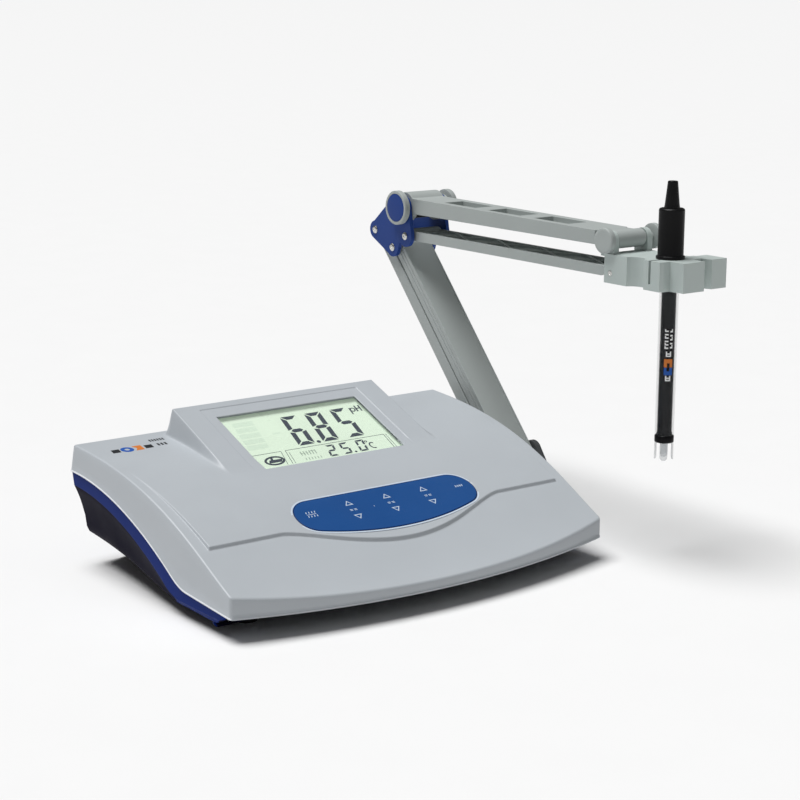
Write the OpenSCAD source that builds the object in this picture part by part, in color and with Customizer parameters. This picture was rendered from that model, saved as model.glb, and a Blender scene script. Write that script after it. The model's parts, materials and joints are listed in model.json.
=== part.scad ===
// Bench pH meter with a swing-arm electrode stand.
// X runs to the right, Y to the back and Z up. The origin is at the centre
// of the case's footprint, on the surface that the feet stand on.

/* [Case] */
// Width of the case at its back
case_w = 290; // [280:1:300]
// Width of the case at its front corners
case_front_w = 284; // [276:1:290]
// Depth of the case from back wall to the middle of the bowed front
case_d = 210; // [205:1:215]
// Height of the display hood's top edge above the table
hood_top_z = 98.7; // [97:0.1:100]
// Wall thickness of the mouldings
wall = 2.2; // [1.8:0.1:2.6]
// Height of the rubber feet below the case
foot_h = 3; // [2.5:0.5:4]
// How far the front panel stands above the deck at its front edge
panel_rise = 2.4; // [1.5:0.1:3]

/* [Display and keypad] */
// Width of the display window
window_w = 110; // [100:1:114]
// Length of the display window along the slope
window_l = 64; // [56:1:66]
// Length of the keypad
keypad_l = 138; // [130:1:140]
// Diameter of a key
key_d = 10; // [8:0.5:10.5]
// Travel of a key
key_travel = 0.4; // [0.3:0.1:0.5]

/* [Arm] */
// Distance of the arm's centre plane from the middle of the case
arm_x = 173.5; // [172:0.5:176]
// Distance between the pivots of the lower arm's links
lower_arm_l = 205; // [195:1:210]
// Slope of the lower arm above the horizontal, leaning back
lower_arm_angle = 48; // [47:0.5:50]
// Distance between the pivots of the upper arm's links
upper_arm_l = 222.6; // [215:0.1:225]
// Width of the links of the lower arm
link_w = 26.5; // [24:0.5:27]

/* [Electrode] */
// Diameter of the electrode's tube
electrode_d = 12.5; // [12:0.1:12.6]
// Height of the electrode's tip above the table
electrode_tip_z = 68; // [64:1:72]

/* [Hidden] */
$fn = 48;
e = 0.02;
fit_gap = 0.1;

// Case outline and heights
back_y = case_d / 2;
front_y = -case_d / 2;
bow = 21;
corner_y = front_y + bow;
bow_r = (case_front_w * case_front_w / 4 + bow * bow) / (2 * bow);
case_bottom_z = foot_h;

// The deck's side view is a cubic curve from the back edge to the front edge
deck_pts = [[back_y, 81.2], [-20, 78], [-54, 35], [front_y, 19.8]];
deck_steps = 26;
function bezier(p, t) = pow(1 - t, 3) * p[0] + 3 * pow(1 - t, 2) * t * p[1]
    + 3 * (1 - t) * t * t * p[2] + pow(t, 3) * p[3];
deck_curve = [for (i = [0:deck_steps]) bezier(deck_pts, i / deck_steps)];
function deck_z(y) = lookup(y, [for (i = [deck_steps:-1:0]) deck_curve[i]]);

// The raised panel leaves the deck behind the keypad and ends in a step
panel_start_y = 40;
panel_step_y = -47.5;
panel_bulge = 21;
panel_bulge_half = 84;
panel_back_half = 138;
panel_front_half = 134;
function panel_z(y) = deck_z(y) + panel_rise * max(0, (panel_start_y - y) / (panel_start_y + 68));
function step_y(x) = abs(x) >= panel_bulge_half ? panel_step_y
    : panel_step_y - panel_bulge * pow(1 - pow(x / panel_bulge_half, 2), 1.5);

// The parting line on the sides: flat at the front, then a rising parabola
seam_back_z = 62.7;
seam_rise = 0.0025;
function seam_floor(y) = 14 + 0.06 * (y - front_y);
function seam_z(y) = max(seam_floor(y), seam_back_z - seam_rise * pow(107 - y, 2));
// The lower edge of the coloured band on the sides
band_back_z = 54;
band_rise = 0.0027;
function band_z(y) = max(case_bottom_z, band_back_z - band_rise * pow(110 - y, 2));

// Lower case
lip = 1;
lower_front_y = -77;
lower_bow_r = 1700;
// Below the band the sides fall back in a cove, then slope in to the bottom edge
skirt_front_half = 137;
skirt_back_half = 113;
skirt_front_y = -60;
skirt_inset = 2;
skirt_knee = [24, 25];
skirt_cove_r = 59;
skirt_turn = atan((skirt_front_half - skirt_back_half) / (back_y - lip - skirt_front_y));
foot_r = 7;
foot_pos = [[-90, 92], [90, 92], [-112, -52], [112, -52], [0, 0]];
screw_pos = [[-102, 78], [102, 78], [-96, -40], [96, -40]];
board_post = [[-70, -36], [70, -36], [-70, 16], [70, 16]];
board_post_h = 6;
post_top_z = 18;
post_r = 4.5;
boss_r = 4;
screw_r = 1.5;
screw_l = 26;

// Display hood
hood_half = 80;
hood_back_y = 88;
hood_foot_y = 96;
hood_front_y = 8.5;
hood_front_z = 67.3;
hood_slope = atan((hood_top_z - hood_front_z) / (hood_back_y - hood_front_y));
window_y = 43.8;
window_z = hood_top_z - (hood_back_y - window_y) * tan(hood_slope);
window_t = 1.5;
lcd_t = 2.8;
light_t = 3.5;
holder_rim = 4;
display_stack = [window_w + 8, window_l + 8];
board_t = 1.6;

// Keypad
keypad_x = 1;
keypad_y = -43;
flat_front_y = -64;
flat_back_y = -22;
keypad_rise = (panel_z(flat_back_y) - panel_z(flat_front_y)) / (flat_back_y - flat_front_y);
keypad_slope = atan(keypad_rise);
keypad_z = panel_z(flat_front_y) + keypad_rise * (keypad_y - flat_front_y);
overlay_t = 0.8;
key_r = key_d / 2;
key_bottom = -4.8;
key_flange_r = key_r + 1;
key_flange_t = 0.6;
keypad_end_r = 15.3;
keypad_end_x = keypad_l / 2 - keypad_end_r;
keypad_end_v = 4;
keypad_low_v = 20;
column_pitch = 29;
row_pitch = 13.4;
end_key_x = 57.5;
end_key_v = 6;
column_u = 2;
column_v = 2.8;
switch_gap = 0.5;
switch_h = 2;

// Rear panel and its sockets
rear_w = 196;
rear_low_z = 12;
rear_high_z = 54;
rear_t = 2;
socket_z = 32;
inlet_x = 72;
inlet_pin_pos = [[-7, 2], [7, 2], [0, -2]];
rocker_x = 38;
fuse_x = 16;
ref_x = -22;
bnc_x = -48;
probe_x = -76;

// Arm pivots, in the arm's own plane: [Y, Z]
elbow_top = [155, 208];
elbow_front = elbow_top + [-4, -21];
elbow_rear_pin = [188.5, 188];
elbow_front_pin = [166.7, 177];
down_arm = [-cos(lower_arm_angle), -sin(lower_arm_angle)];
base_rear_pin = elbow_rear_pin + lower_arm_l * down_arm;
base_front_pin = elbow_front_pin + lower_arm_l * down_arm;
head_top = elbow_top - [upper_arm_l, 0];
head_low = elbow_front - [upper_arm_l, 0];
pin_r = 2;
shaft_r = 4;
hub_r = 11;
hub_half = 14.6;
plate_in = 15;
plate_t = 3;
knob_r = 12.5;
knob_t = 5.5;

// Swivel base
swivel_y = 40.5;
bracket_screw_x = 110;
bracket_x0 = 97;
bracket_t = 2.5;
spigot_r = 6;
turret_low_z = 9;
turret_disc_t = 7;
cheek_in = 14;
cheek_t = 4;

// Head and electrode
head_low_z = 180.5;
head_high_z = 199.5;
head_back_y = -66;
head_half = 18;
electrode_y = -108;
electrode_r = electrode_d / 2;
flange_t = 2.5;
cap_r = 8.3;
cap_h = 30;
boot_h = 17;
tube_low_z = electrode_tip_z + 16;
collar_h = 4.5;

body_grey = [0.74, 0.76, 0.78];
band_blue = [0.08, 0.18, 0.52];
plate_blue = [0.16, 0.28, 0.55];
arm_grey = [0.66, 0.69, 0.68];
head_grey = [0.72, 0.76, 0.74];
board_green = [0.1, 0.4, 0.25];

KEYS = ["mode", "temp_up", "temp_down", "slope_up", "slope_down", "offset_up", "offset_down", "confirm"];

// ---- helpers ----

// Extrudes a side view drawn in [Y, Z] along +X, from x0
module side(x0, t) {
    translate([x0, 0, 0]) rotate([90, 0, 90]) linear_extrude(t) children();
}
// Places a child drawn along +X at a pivot given as [Y, Z]
module at_pivot(p, x0) {
    translate([x0, p[0], p[1]]) rotate([0, 90, 0]) children();
}
// A bar with round ends between two points. Its sides cross the end circles
// a hair inside their tangents, so that the outline stays clean.
module capsule(p, q, r) {
    d = q - p;
    half = r - 0.03;
    translate(p) circle(r);
    translate(q) circle(r);
    translate(p) rotate(atan2(d[1], d[0])) translate([0, -half]) square([norm(d), 2 * half]);
}
module on_window() {
    translate([0, window_y, window_z]) rotate([hood_slope, 0, 0]) children();
}
module on_keypad() {
    translate([keypad_x, keypad_y, keypad_z]) rotate([keypad_slope, 0, 0]) children();
}
module rear_at(x) {
    translate([x, back_y, socket_z]) rotate([-90, 0, 0]) children();
}
module slab(w, l, z0, z1) {
    translate([-w / 2, -l / 2, z0]) cube([w, l, z1 - z0]);
}
module tube(r_out, r_in, h) {
    difference() {
        cylinder(r = r_out, h = h);
        translate([0, 0, -1]) cylinder(r = r_in, h = h + 2);
    }
}
function key_place(i) = i == 0 ? [column_u - 1 - end_key_x, end_key_v]
    : i == 7 ? [column_u - 1 + end_key_x, end_key_v]
    : [column_u + (floor((i - 1) / 2) - 1) * column_pitch, column_v + (i % 2 == 1 ? 0.5 : -0.5) * row_pitch];

// ---- case ----

// Plan outline of the case, drawn in by m on every side
module outline(m) {
    intersection() {
        polygon([[-case_w / 2 + m, back_y - m], [-case_front_w / 2 + m, front_y - 1],
            [case_front_w / 2 - m, front_y - 1], [case_w / 2 - m, back_y - m]]);
        translate([0, front_y + bow_r]) circle(r = bow_r - m, $fn = 360);
    }
}
// Solid under the deck's curve, lowered by m
module under_deck(m) {
    side(-case_w, 2 * case_w)
        polygon(concat([for (p = deck_curve) p - [0, m]], [[front_y - 2, 19.8 - m], [front_y - 2, -5],
            [back_y + 2, -5], [back_y + 2, 81.2 - m]]));
}
module panel_block() {
    ys = [-70, flat_front_y, flat_back_y, -10, 5, 20, panel_start_y];
    intersection() {
        side(-case_w, 2 * case_w)
            polygon(concat([for (y = ys) [y, panel_z(y)]], [[panel_start_y, 10], [-70, 10]]));
        linear_extrude(120)
            polygon(concat([[-panel_back_half, panel_start_y], [-panel_front_half, panel_step_y]],
                [for (x = [-panel_bulge_half:7:panel_bulge_half]) [x, step_y(x)]],
                [[panel_front_half, panel_step_y], [panel_back_half, panel_start_y]]));
    }
}
// The display hood's wedge, drawn in by m
module hood(m) {
    drop = m / cos(hood_slope);
    side(-hood_half + m, 2 * (hood_half - m))
        polygon([[hood_front_y, hood_front_z - drop], [hood_back_y - m, hood_top_z - drop - m * tan(hood_slope)],
            [hood_foot_y - m, 79], [hood_foot_y - m, 40], [hood_front_y, 40]]);
}
module above_seam(m) {
    ys = [for (i = [0:24]) front_y - 5 + i * (case_d + 10) / 24];
    side(-case_w, 2 * case_w)
        polygon(concat([for (y = ys) [y, seam_z(y) + m]], [[back_y + 5, 200], [front_y - 5, 200]]));
}
module case_outer(m) {
    intersection() {
        linear_extrude(200) outline(m);
        under_deck(m * 1.05);
    }
}
module upper_case() {
    color(body_grey)
    difference() {
        union() {
            difference() {
                union() {
                    intersection() {
                        union() {
                            case_outer(0);
                            panel_block();
                        }
                        above_seam(0);
                    }
                    hood(0);
                }
                case_outer(wall);
                hood(wall);
            }
            for (p = screw_pos) intersection() {
                translate([p[0], p[1], post_top_z]) cylinder(r = boss_r, h = 80);
                case_outer(wall / 2);
            }
        }
        on_window() slab(window_w, window_l, -8, 4);
        on_keypad() for (i = [0:7]) translate(key_place(i)) {
            translate([0, 0, -10]) cylinder(r = key_r + fit_gap, h = 14);
            translate([0, 0, -14]) cylinder(r = key_flange_r + 0.6, h = 10);
        }
        for (p = screw_pos) translate([p[0], p[1], post_top_z - 1]) cylinder(r = screw_r, h = 9.5);
    }
}
// Region of the coloured band: between the band's lower edge and the seam
module band_region() {
    ys = [for (i = [0:24]) front_y - 5 + i * (case_d + 10) / 24];
    side(-case_w, 2 * case_w)
        polygon(concat([for (y = ys) [y, min(band_z(y), seam_z(y) - 3)]],
            [for (i = [24:-1:0]) [ys[i], seam_z(ys[i])]]));
}
// Outline of what is taken off each side below the band: [out, up] from the bottom edge
module skirt_relief() {
    slope = skirt_knee[0] / (skirt_knee[1] - case_bottom_z);
    polygon([[-10 * slope, case_bottom_z - 10], skirt_knee, [100, skirt_knee[1]],
        [100, case_bottom_z - 10]]);
    translate(skirt_knee + [skirt_cove_r, 0]) circle(r = skirt_cove_r, $fn = 180);
}
module skirt_body(m) {
    difference() {
        translate([0, skirt_inset, case_bottom_z + m]) linear_extrude(100)
            lower_plan(skirt_inset + m);
        for (s = [0, 1]) mirror([s, 0, 0])
            translate([skirt_back_half - 1.4 * m, back_y - lip, 0]) rotate([0, 0, skirt_turn])
                translate([0, 60, 0]) rotate([90, 0, 0]) linear_extrude(300) skirt_relief();
    }
}
// The lower case's front is set back, and flatter than the bow above it
module lower_plan(m) {
    intersection() {
        outline(lip + m);
        translate([0, lower_front_y + lower_bow_r]) circle(r = lower_bow_r - m, $fn = 360);
    }
}
module lower_outer(m) {
    intersection() {
        union() {
            intersection() {
                band_region();
                linear_extrude(100) lower_plan(m);
            }
            skirt_body(m);
        }
        difference() {
            translate([-case_w, -case_d, 0]) cube([2 * case_w, 2 * case_d, 100]);
            above_seam(0);
        }
    }
}
module lower_case() {
    color(band_blue)
    difference() {
        union() {
            difference() {
                lower_outer(0);
                skirt_body(wall);
                intersection() {
                    translate([0, 0, wall]) band_region();
                    linear_extrude(100) lower_plan(wall);
                }
            }
            for (p = screw_pos) translate([p[0], p[1], case_bottom_z])
                cylinder(r = post_r, h = post_top_z - case_bottom_z);
            for (p = board_post) translate([p[0], p[1], case_bottom_z]) cylinder(r = 3.5, h = board_post_h);
        }
        for (p = screw_pos) translate([p[0], p[1], 0]) {
            cylinder(r = screw_r + fit_gap, h = 30);
            cylinder(r = 3.2, h = case_bottom_z + 2.5);
        }
        for (p = foot_pos) translate([p[0], p[1], 0]) cylinder(r = foot_r, h = case_bottom_z + 1);
        translate([-rear_w / 2, back_y - 10, rear_low_z]) cube([rear_w, 20, rear_high_z - rear_low_z]);
        for (y = [-14, 14]) translate([bracket_screw_x, swivel_y + y, 0]) cylinder(r = 2, h = 12);
    }
}
module rubber_feet() {
    color([0.1, 0.1, 0.11])
    for (p = foot_pos) translate([p[0], p[1], 0]) {
        cylinder(r = foot_r - 0.2, h = case_bottom_z + 1);
    }
}
module case_screws() {
    color("silver")
    for (p = screw_pos) translate([p[0], p[1], case_bottom_z + 0.5]) {
        cylinder(r = 3, h = 2);
        cylinder(r = screw_r, h = screw_l - 3);
    }
}

// ---- display ----

module display_window() {
    color([0.8, 0.9, 0.85, 0.5])
    on_window() slab(display_stack[0], display_stack[1], -wall - 0.2 - window_t, -wall - 0.2);
}
module lcd_panel() {
    top = -wall - 0.2 - window_t;
    color([0.82, 0.9, 0.8])
    on_window() slab(display_stack[0] - 2, display_stack[1] - 2, top - lcd_t, top);
}
module lcd_backlight() {
    top = -wall - 0.2 - window_t - lcd_t;
    color([0.95, 0.95, 0.92])
    on_window() slab(display_stack[0] - 2, display_stack[1] - 2, top - light_t, top);
}
module lcd_holder() {
    top = -wall - 0.2;
    low = top - window_t - lcd_t - light_t;
    color([0.9, 0.9, 0.9])
    on_window() difference() {
        slab(display_stack[0] + 2 * holder_rim, display_stack[1] + 2 * holder_rim, low, top);
        slab(display_stack[0] + 0.1, display_stack[1] + 0.1, low - 1, top + 1);
    }
}
module display_board() {
    top = -wall - 0.2 - window_t - lcd_t - light_t;
    color(board_green)
    on_window() union() {
        slab(display_stack[0] + 2 * holder_rim, display_stack[1] + 2 * holder_rim, top - board_t, top);
        slab(14, 14, top - board_t - 2, top - board_t + e);
        translate([38, 20, 0]) slab(22, 7, top - board_t - 5, top - board_t + e);
    }
}

// ---- keypad ----

// Keypad outline, drawn in by m: a straight top edge, round ends and a bowed
// lower edge whose arc is tangent to both end circles
module keypad_outline(m) {
    drop = keypad_low_v + keypad_end_v;
    arc_r = (keypad_end_x * keypad_end_x + drop * drop - keypad_end_r * keypad_end_r)
        / (2 * (drop - keypad_end_r));
    arc_v = arc_r - keypad_low_v;
    reach = (arc_r + 6) / (arc_r - keypad_end_r);
    low = [keypad_end_x * reach, arc_v + (keypad_end_v - arc_v) * reach];
    intersection() {
        translate([0, arc_v]) circle(r = arc_r - m, $fn = 240);
        polygon([[-keypad_end_x, keypad_end_v + keypad_end_r - m], [keypad_end_x, keypad_end_v + keypad_end_r - m],
            [keypad_end_x, keypad_end_v], low, [keypad_end_x / 2, -40], [-keypad_end_x / 2, -40],
            [-low[0], low[1]], [-keypad_end_x, keypad_end_v]]);
    }
    for (s = [-1, 1]) translate([s * keypad_end_x, keypad_end_v]) circle(r = keypad_end_r - m);
}
module keypad_overlay() {
    color([0.13, 0.3, 0.58])
    on_keypad() difference() {
        linear_extrude(overlay_t) keypad_outline(0);
        for (i = [0:7]) translate(key_place(i)) translate([0, 0, -1]) cylinder(r = key_r + fit_gap, h = 4);
    }
}
module key(i) {
    color([0.13, 0.3, 0.58])
    on_keypad() translate(key_place(i)) translate([0, 0, key_bottom]) union() {
        cylinder(r = key_r, h = overlay_t - key_bottom);
        cylinder(r = key_flange_r, h = key_flange_t);
    }
}
module key_switches() {
    color([0.15, 0.15, 0.15])
    on_keypad() for (i = [0:7]) translate(key_place(i)) {
        slab(6, 6, key_bottom - switch_gap - switch_h, key_bottom - switch_gap - 0.4);
        translate([0, 0, key_bottom - switch_gap - 0.4]) cylinder(r = 1.7, h = 0.4);
    }
}
module keypad_board() {
    top = key_bottom - switch_gap - switch_h;
    color(board_green)
    on_keypad() slab(keypad_l - 8, 30, top - board_t, top);
}

// ---- inside ----

module main_board() {
    z0 = case_bottom_z + board_post_h;
    top = z0 + board_t - e;
    color(board_green)
    union() {
        translate([-85, -46, z0]) cube([170, 72, board_t]);
        translate([-60, -25, top]) cube([26, 26, 3]);
        translate([10, -20, top]) cube([20, 12, 3]);
        for (x = [44, 57, 70]) translate([x, -8, top]) cylinder(r = 5, h = 14);
        translate([-60, 16, top]) cube([50, 8, 8]);
    }
}
module transformer() {
    color([0.35, 0.33, 0.3])
    translate([62, 54, case_bottom_z + wall]) difference() {
        union() {
            translate([-24, -18, 3]) cube([48, 36, 36]);
            translate([-17, -24, 6]) cube([34, 48, 30]);
            translate([-32, -16, 0]) cube([64, 32, 3]);
        }
        for (x = [-28, 28]) translate([x, 0, -1]) cylinder(r = 2, h = 6);
    }
}

// ---- rear panel ----

module rear_panel() {
    color([0.2, 0.21, 0.23])
    difference() {
        translate([-rear_w / 2 + 0.1, back_y - lip - wall, rear_low_z + 0.1])
            cube([rear_w - 0.2, rear_t, rear_high_z - rear_low_z - 0.2]);
        rear_at(inlet_x) slab(27, 20, -10, 5);
        rear_at(rocker_x) slab(13, 19, -10, 5);
        rear_at(fuse_x) translate([0, 0, -10]) cylinder(r = 6, h = 15);
        rear_at(ref_x) translate([0, 0, -10]) cylinder(r = 3, h = 15);
        rear_at(bnc_x) translate([0, 0, -10]) cylinder(r = 4.8, h = 15);
        rear_at(probe_x) translate([0, 0, -10]) cylinder(r = 6, h = 15);
    }
}
panel_face = -lip - wall + rear_t;
module mains_inlet() {
    color([0.08, 0.08, 0.08])
    rear_at(inlet_x) difference() {
        union() {
            slab(30.7, 22.5, panel_face, panel_face + 3);
            slab(27, 20, -20, panel_face + e);
        }
        slab(24.5, 17, -14, 6);
        for (p = inlet_pin_pos) translate([p[0], p[1], 0]) slab(2, 4, -26, 1);
    }
}
module inlet_pins() {
    color("silver")
    rear_at(inlet_x) for (p = inlet_pin_pos) translate([p[0], p[1], 0]) slab(2, 4, -26, 1);
}
module power_switch_frame() {
    color([0.08, 0.08, 0.08])
    rear_at(rocker_x) difference() {
        union() {
            slab(15, 21, panel_face, panel_face + 2);
            slab(13, 19, -16, panel_face + e);
        }
        slab(10.6, 16.6, -10, 6);
    }
}
module power_rocker() {
    color([0.6, 0.08, 0.08])
    rear_at(rocker_x) intersection() {
        slab(10, 15.6, -6, 4);
        translate([-6, 0, -4]) rotate([0, 90, 0]) difference() {
            cylinder(r = 8.6, h = 12);
            translate([-26.6, 0, -1]) cylinder(r = 20, h = 14, $fn = 96);
        }
    }
}
module fuse_holder() {
    color([0.1, 0.1, 0.1])
    rear_at(fuse_x) difference() {
        union() {
            translate([0, 0, panel_face]) cylinder(r = 8, h = 2);
            translate([0, 0, -32]) cylinder(r = 6, h = 32 + panel_face + e);
        }
        translate([0, 0, -30]) cylinder(r = 4.4, h = 40);
    }
}
module fuse_cap() {
    color([0.1, 0.1, 0.1])
    rear_at(fuse_x) difference() {
        union() {
            translate([0, 0, panel_face + 2.3]) cylinder(r = 7, h = 5);
            translate([0, 0, -4]) cylinder(r = 4.3, h = 8);
        }
        translate([0, 0, panel_face + 6]) slab(9, 1.4, 0, 5);
        translate([0, 0, -5]) cylinder(r = 2.7, h = 5);
    }
}
module fuse_tube() {
    color([0.85, 0.85, 0.85])
    rear_at(fuse_x) translate([0, 0, -29]) cylinder(r = 2.5, h = 28);
}
module bnc_socket() {
    color("silver")
    rear_at(bnc_x) union() {
        translate([0, 0, panel_face]) difference() {
            union() {
                cylinder(r = 7, h = 2, $fn = 6);
                cylinder(r = 4.8, h = 14);
            }
            translate([0, 0, 4]) cylinder(r = 4.1, h = 11);
        }
        translate([0, 0, -12]) cylinder(r = 4.8, h = 12 + panel_face + e);
        translate([0, 0, panel_face + 3]) cylinder(r = 1.1, h = 8);
        for (a = [0, 180]) rotate([0, 0, a]) translate([4.6, 0, panel_face + 10]) rotate([0, 90, 0])
            cylinder(r = 1, h = 1.4);
    }
}
module reference_terminal() {
    color("goldenrod")
    rear_at(ref_x) union() {
        translate([0, 0, panel_face]) cylinder(r = 5.5, h = 2);
        translate([0, 0, -12]) cylinder(r = 3, h = 12 + panel_face + e);
        translate([0, 0, panel_face]) cylinder(r = 2, h = 16);
    }
}
module terminal_nut() {
    color([0.1, 0.1, 0.1])
    rear_at(ref_x) translate([0, 0, panel_face + 3]) difference() {
        cylinder(r = 5.5, h = 9);
        translate([0, 0, -1]) cylinder(r = 2 + fit_gap / 2, h = 12);
        for (a = [0:30:330]) rotate([0, 0, a]) translate([5.9, 0, -1]) cylinder(r = 0.8, h = 12);
    }
}
module probe_socket() {
    color([0.15, 0.15, 0.15])
    rear_at(probe_x) difference() {
        union() {
            translate([0, 0, panel_face]) cylinder(r = 8, h = 3);
            translate([0, 0, -14]) cylinder(r = 6, h = 14 + panel_face + e);
        }
        translate([0, 0, -10]) cylinder(r = 3.2, h = 20);
    }
}

// ---- arm ----

module arm_bracket() {
    color([0.3, 0.31, 0.33])
    difference() {
        union() {
            translate([bracket_x0, swivel_y - 24, case_bottom_z - bracket_t])
                cube([arm_x - bracket_x0, 48, bracket_t]);
            translate([arm_x, swivel_y, case_bottom_z - bracket_t]) cylinder(r = 24, h = bracket_t);
            translate([arm_x, swivel_y, case_bottom_z - e]) cylinder(r = 15, h = turret_low_z - 3 - e * 2);
            translate([arm_x, swivel_y, case_bottom_z]) cylinder(r = spigot_r, h = 13.3);
        }
        for (y = [-14, 14]) translate([bracket_screw_x, swivel_y + y, -1]) cylinder(r = 2, h = 12);
        translate([arm_x, swivel_y, 0]) cylinder(r = 2.5, h = 30);
    }
}
module bracket_screws() {
    color("silver")
    for (y = [-14, 14]) translate([bracket_screw_x, swivel_y + y, 0]) {
        translate([0, 0, 0.5]) cylinder(r = 2, h = 8);
        translate([0, 0, case_bottom_z + wall]) cylinder(r = 4, h = 3);
    }
}
module swivel_screw() {
    color([0.15, 0.15, 0.15])
    translate([arm_x, swivel_y, 2]) union() {
        cylinder(r = 2.5, h = 15);
        translate([0, 0, 14.4]) cylinder(r = 9, h = 1);
    }
}
module cheek_outline() {
    low = turret_low_z + 2;
    capsule(base_rear_pin, base_rear_pin + [-10, 5], 8);
    capsule(base_front_pin, base_rear_pin + [-10, 5], 8);
    polygon([[swivel_y - 20, low], [swivel_y + 20, low], base_rear_pin + [8, 0],
        base_rear_pin + [-10, 5], base_front_pin + [-8, 0]]);
}
module arm_turret() {
    color([0.34, 0.35, 0.37])
    difference() {
        union() {
            translate([arm_x, swivel_y, turret_low_z]) cylinder(r = 23, h = turret_disc_t);
            for (s = [-1, 1]) side(arm_x + (s > 0 ? cheek_in : -cheek_in - cheek_t), cheek_t)
                cheek_outline();
        }
        translate([arm_x, swivel_y, 0]) cylinder(r = spigot_r + fit_gap / 2, h = 30);
        for (p = [base_rear_pin, base_front_pin]) at_pivot(p, arm_x - 30) cylinder(r = pin_r, h = 60);
    }
}
module base_pins() {
    color("silver")
    for (p = [base_rear_pin, base_front_pin]) {
        at_pivot(p, arm_x - cheek_in - cheek_t) cylinder(r = pin_r, h = 2 * (cheek_in + cheek_t));
        for (s = [-1, 1]) at_pivot(p, arm_x + s * (cheek_in + cheek_t + 0.6) - 0.6) cylinder(r = 3.4, h = 1.2);
    }
}
// A link of the lower arm: a bar between two pins, set off to one side of them
module lower_link(p, q, off, half_t, hollow_from, hollow_to) {
    u = [cos(lower_arm_angle), sin(lower_arm_angle)];
    shift = off * [-u[1], u[0]];
    difference() {
        union() {
            side(arm_x - link_w / 2, link_w) {
                capsule(p + shift, q + shift, half_t);
                capsule(p, p + u * 8, 4.4);
                capsule(q, q - u * 8, 4.4);
            }
        }
        side(arm_x - link_w / 2 + 2.2, link_w - 4.4)
            capsule(p + shift + u * 22 + hollow_from, q + shift - u * 22 + hollow_from, hollow_to);
        for (c = [p, q]) at_pivot(c, arm_x - 30) cylinder(r = pin_r + fit_gap / 2, h = 60);
    }
}
module lower_front_link() {
    back = [sin(lower_arm_angle), -cos(lower_arm_angle)];
    color(arm_grey) lower_link(base_front_pin, elbow_front_pin, 1.15, 5.45, back * 3.4, 4.4);
}
module lower_rear_link() {
    back = [sin(lower_arm_angle), -cos(lower_arm_angle)];
    color(arm_grey) lower_link(base_rear_pin, elbow_rear_pin, -1.65, 4.85, back * 3.2, 3.9);
}
module elbow_outline() {
    capsule(elbow_top + [11.5, -1.5], elbow_rear_pin, 6);
    capsule(elbow_top, elbow_front_pin, 7);
    capsule(elbow_rear_pin, elbow_front_pin, 6.8);
    capsule(elbow_top, elbow_front, 8);
    translate(elbow_top) circle(8.5);
    translate(elbow_top + [15, -17.5]) circle(11.5);
}
module elbow_plate(s) {
    color(plate_blue)
    difference() {
        side(arm_x + (s > 0 ? plate_in : -plate_in - plate_t), plate_t) elbow_outline();
        for (p = [elbow_rear_pin, elbow_front_pin, elbow_front])
            at_pivot(p, arm_x - 30) cylinder(r = pin_r, h = 60);
        at_pivot(elbow_top, arm_x - 30) cylinder(r = shaft_r, h = 60);
    }
}
module elbow_plate_left() { elbow_plate(-1); }
module elbow_plate_right() { elbow_plate(1); }
module elbow_pins() {
    reach = plate_in + plate_t;
    color("silver")
    for (p = [elbow_rear_pin, elbow_front_pin, elbow_front]) {
        at_pivot(p, arm_x - reach) cylinder(r = pin_r, h = 2 * reach);
        for (s = [-1, 1]) at_pivot(p, arm_x + s * (reach + 0.5) - 0.5) cylinder(r = 2.9, h = 1);
    }
}
module elbow_shaft() {
    color("silver")
    at_pivot(elbow_top, arm_x - plate_in - plate_t - 4.5) cylinder(r = shaft_r, h = 45);
}
module elbow_end_disc() {
    color(arm_grey)
    at_pivot(elbow_top, arm_x + plate_in + plate_t + 1) difference() {
        union() {
            cylinder(r = 7, h = 3);
            translate([0, 0, 2.5]) cylinder(r = 11, h = 4.5);
        }
        translate([0, 0, -1]) cylinder(r = shaft_r, h = 4.5);
    }
}
module elbow_knob() {
    color(arm_grey)
    at_pivot(elbow_top, arm_x - plate_in - plate_t - 0.5 - knob_t) difference() {
        union() {
            cylinder(r = knob_r, h = knob_t - 1);
            cylinder(r = 9, h = knob_t);
        }
        translate([0, 0, 1]) cylinder(r = shaft_r + fit_gap / 2, h = knob_t);
        translate([0, 0, -1]) cylinder(r = 10.4, h = 1.6);
    }
}
module knob_disc() {
    color(plate_blue)
    at_pivot(elbow_top, arm_x - plate_in - plate_t - 0.5 - knob_t + 0.05) cylinder(r = 10.3, h = 0.55);
}
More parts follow.
